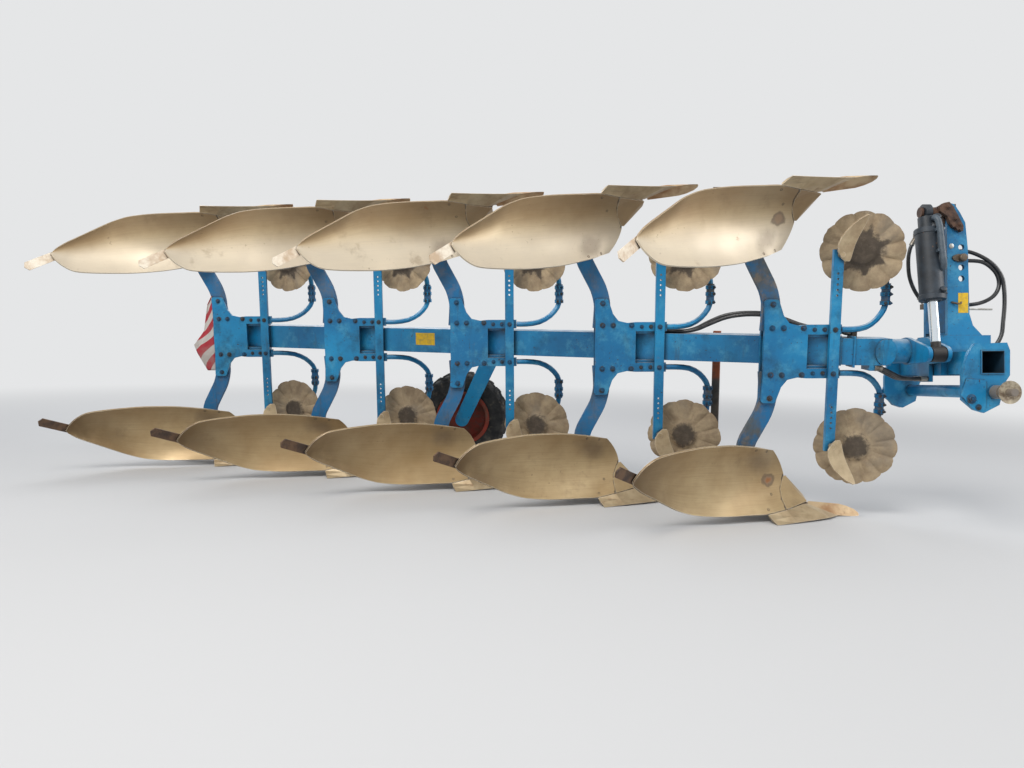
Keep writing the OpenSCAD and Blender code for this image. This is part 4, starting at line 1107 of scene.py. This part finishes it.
def make_flag():
    """A limp cloth hung from its straight edge, with folds that deepen away from it."""
    rows, columns = 26, 12
    low, high = -0.25, 0.3
    grid, uvs = [], []
    for i in range(rows + 1):
        z = low + (high - low) * i / rows
        reach = flag_reach(z)
        row, around = [], []
        for j in range(columns + 1):
            t = j / columns
            fold = 0.006 * math.sin(9 * t + 5 * z) * t
            row.append((reach * t + 0.003 * (1 - t), fold - 0.002, z))
            around.append((t * 0.2, (z - low) / (high - low)))
        grid.append(row)
        uvs.append(around)
    shape = Shape(PARKED @ Matrix.Translation(FLAG_PLACE))
    shape.sheet(grid, uvs)
    piece = shape.build("striped_flag", "frame", "flag", "flag", ["marker_flag"])
    thick = piece.modifiers.new("cloth", "SOLIDIFY")
    thick.thickness = 0.0015


def flag_reach(z):
    """X of the flag's free edge at a height."""
    side = sorted((z, x) for x, z in FLAG_EDGE)
    for (z0, x0), (z1, x1) in zip(side, side[1:]):
        if z0 <= z <= z1:
            return x0 + (x1 - x0) * (z - z0) / (z1 - z0)
    return side[0][1] if z < side[0][0] else side[-1][1]


for row in SIDES:
    make_boards(row)
    for number in range(1, FURROWS + 1):
        make_disc(row, number)
make_bracket_bolts()
make_knuckles()
make_cylinder_details()
make_tower_details()
make_blank_plates()
make_hose_ends()
make_tyre()
make_flag()


# Floor and light


BACKDROP = (229, 230, 231)


def background_ray(tree):
    """1 for what the camera sees, directly or in metal, and 0 for light that falls on things."""
    path = tree.nodes.new("ShaderNodeLightPath")
    seen = path.outputs["Is Camera Ray"]
    for ray in ("Is Glossy Ray", "Is Transmission Ray"):
        both = tree.nodes.new("ShaderNodeMath")
        both.operation = "MAXIMUM"
        tree.links.new(seen, both.inputs[0])
        tree.links.new(path.outputs[ray], both.inputs[1])
        seen = both.outputs[0]
    return seen


def make_floor():
    """Pale floor that keeps the shadow and melts into the backdrop far away."""
    data = bpy.data.meshes.new("studio_floor")
    data.from_pydata([(-60, -60, 0), (60, -60, 0), (60, 60, 0), (-60, 60, 0)], [], [(0, 1, 2, 3)])
    floor = add_object("studio_floor", data)
    n = Nodes("studio_floor", roughness=0.9)
    n.colour = srgb(196, 196, 196)
    data.materials.append(n.done())
    far = n.ramp(n.length(n.place, (0, 0, 0)), 4.5, 11.0)
    glow = n.tree.nodes.new("ShaderNodeEmission")
    glow.inputs["Color"].default_value = srgb(*BACKDROP)
    blend = n.tree.nodes.new("ShaderNodeMixShader")
    n.put(blend.inputs[0], n.both(far, background_ray(n.tree)))
    n.put(blend.inputs[1], n.shader.outputs[0])
    n.put(blend.inputs[2], glow.outputs[0])
    n.put(n.tree.nodes["Material Output"].inputs["Surface"], blend.outputs[0])


def make_world():
    """Soft grey-white surroundings for the light; the camera sees them as pale."""
    world = bpy.data.worlds.new("studio")
    bpy.context.scene.world = world
    world.use_nodes = True
    tree = world.node_tree
    back = tree.nodes["Background"]
    back.inputs["Color"].default_value = (0.92, 0.95, 1.0, 1)
    back.inputs["Strength"].default_value = 0.62
    seen = tree.nodes.new("ShaderNodeBackground")
    seen.inputs["Color"].default_value = srgb(*BACKDROP)
    seen.inputs["Strength"].default_value = 1.0
    choose = tree.nodes.new("ShaderNodeMixShader")
    tree.links.new(background_ray(tree), choose.inputs[0])
    tree.links.new(back.outputs[0], choose.inputs[1])
    tree.links.new(seen.outputs[0], choose.inputs[2])
    tree.links.new(choose.outputs[0], tree.nodes["World Output"].inputs["Surface"])


def make_lamp(name, place, size, power, colour=(1, 1, 1)):
    data = bpy.data.lights.new(name, "AREA")
    data.shape = "RECTANGLE"
    data.size, data.size_y = size
    data.energy = power
    data.color = colour
    lamp = add_object(name, data)
    lamp.location = place
    lamp.rotation_mode = "QUATERNION"
    lamp.rotation_quaternion = (Vector(LIGHT_CENTRE) - Vector(place)).to_track_quat("-Z", "Y")


make_floor()
make_world()
make_lamp("key", (-1.5, -4.5, 6.5), (4, 3), 400, (1.0, 0.98, 0.95))
make_lamp("side", (7.0, -2.0, 4.0), (3, 4), 160)
make_lamp("back", (-3.0, 6.5, 5.0), (6, 3), 180, (0.94, 0.97, 1.0))

bpy.context.scene.view_settings.view_transform = "Standard"
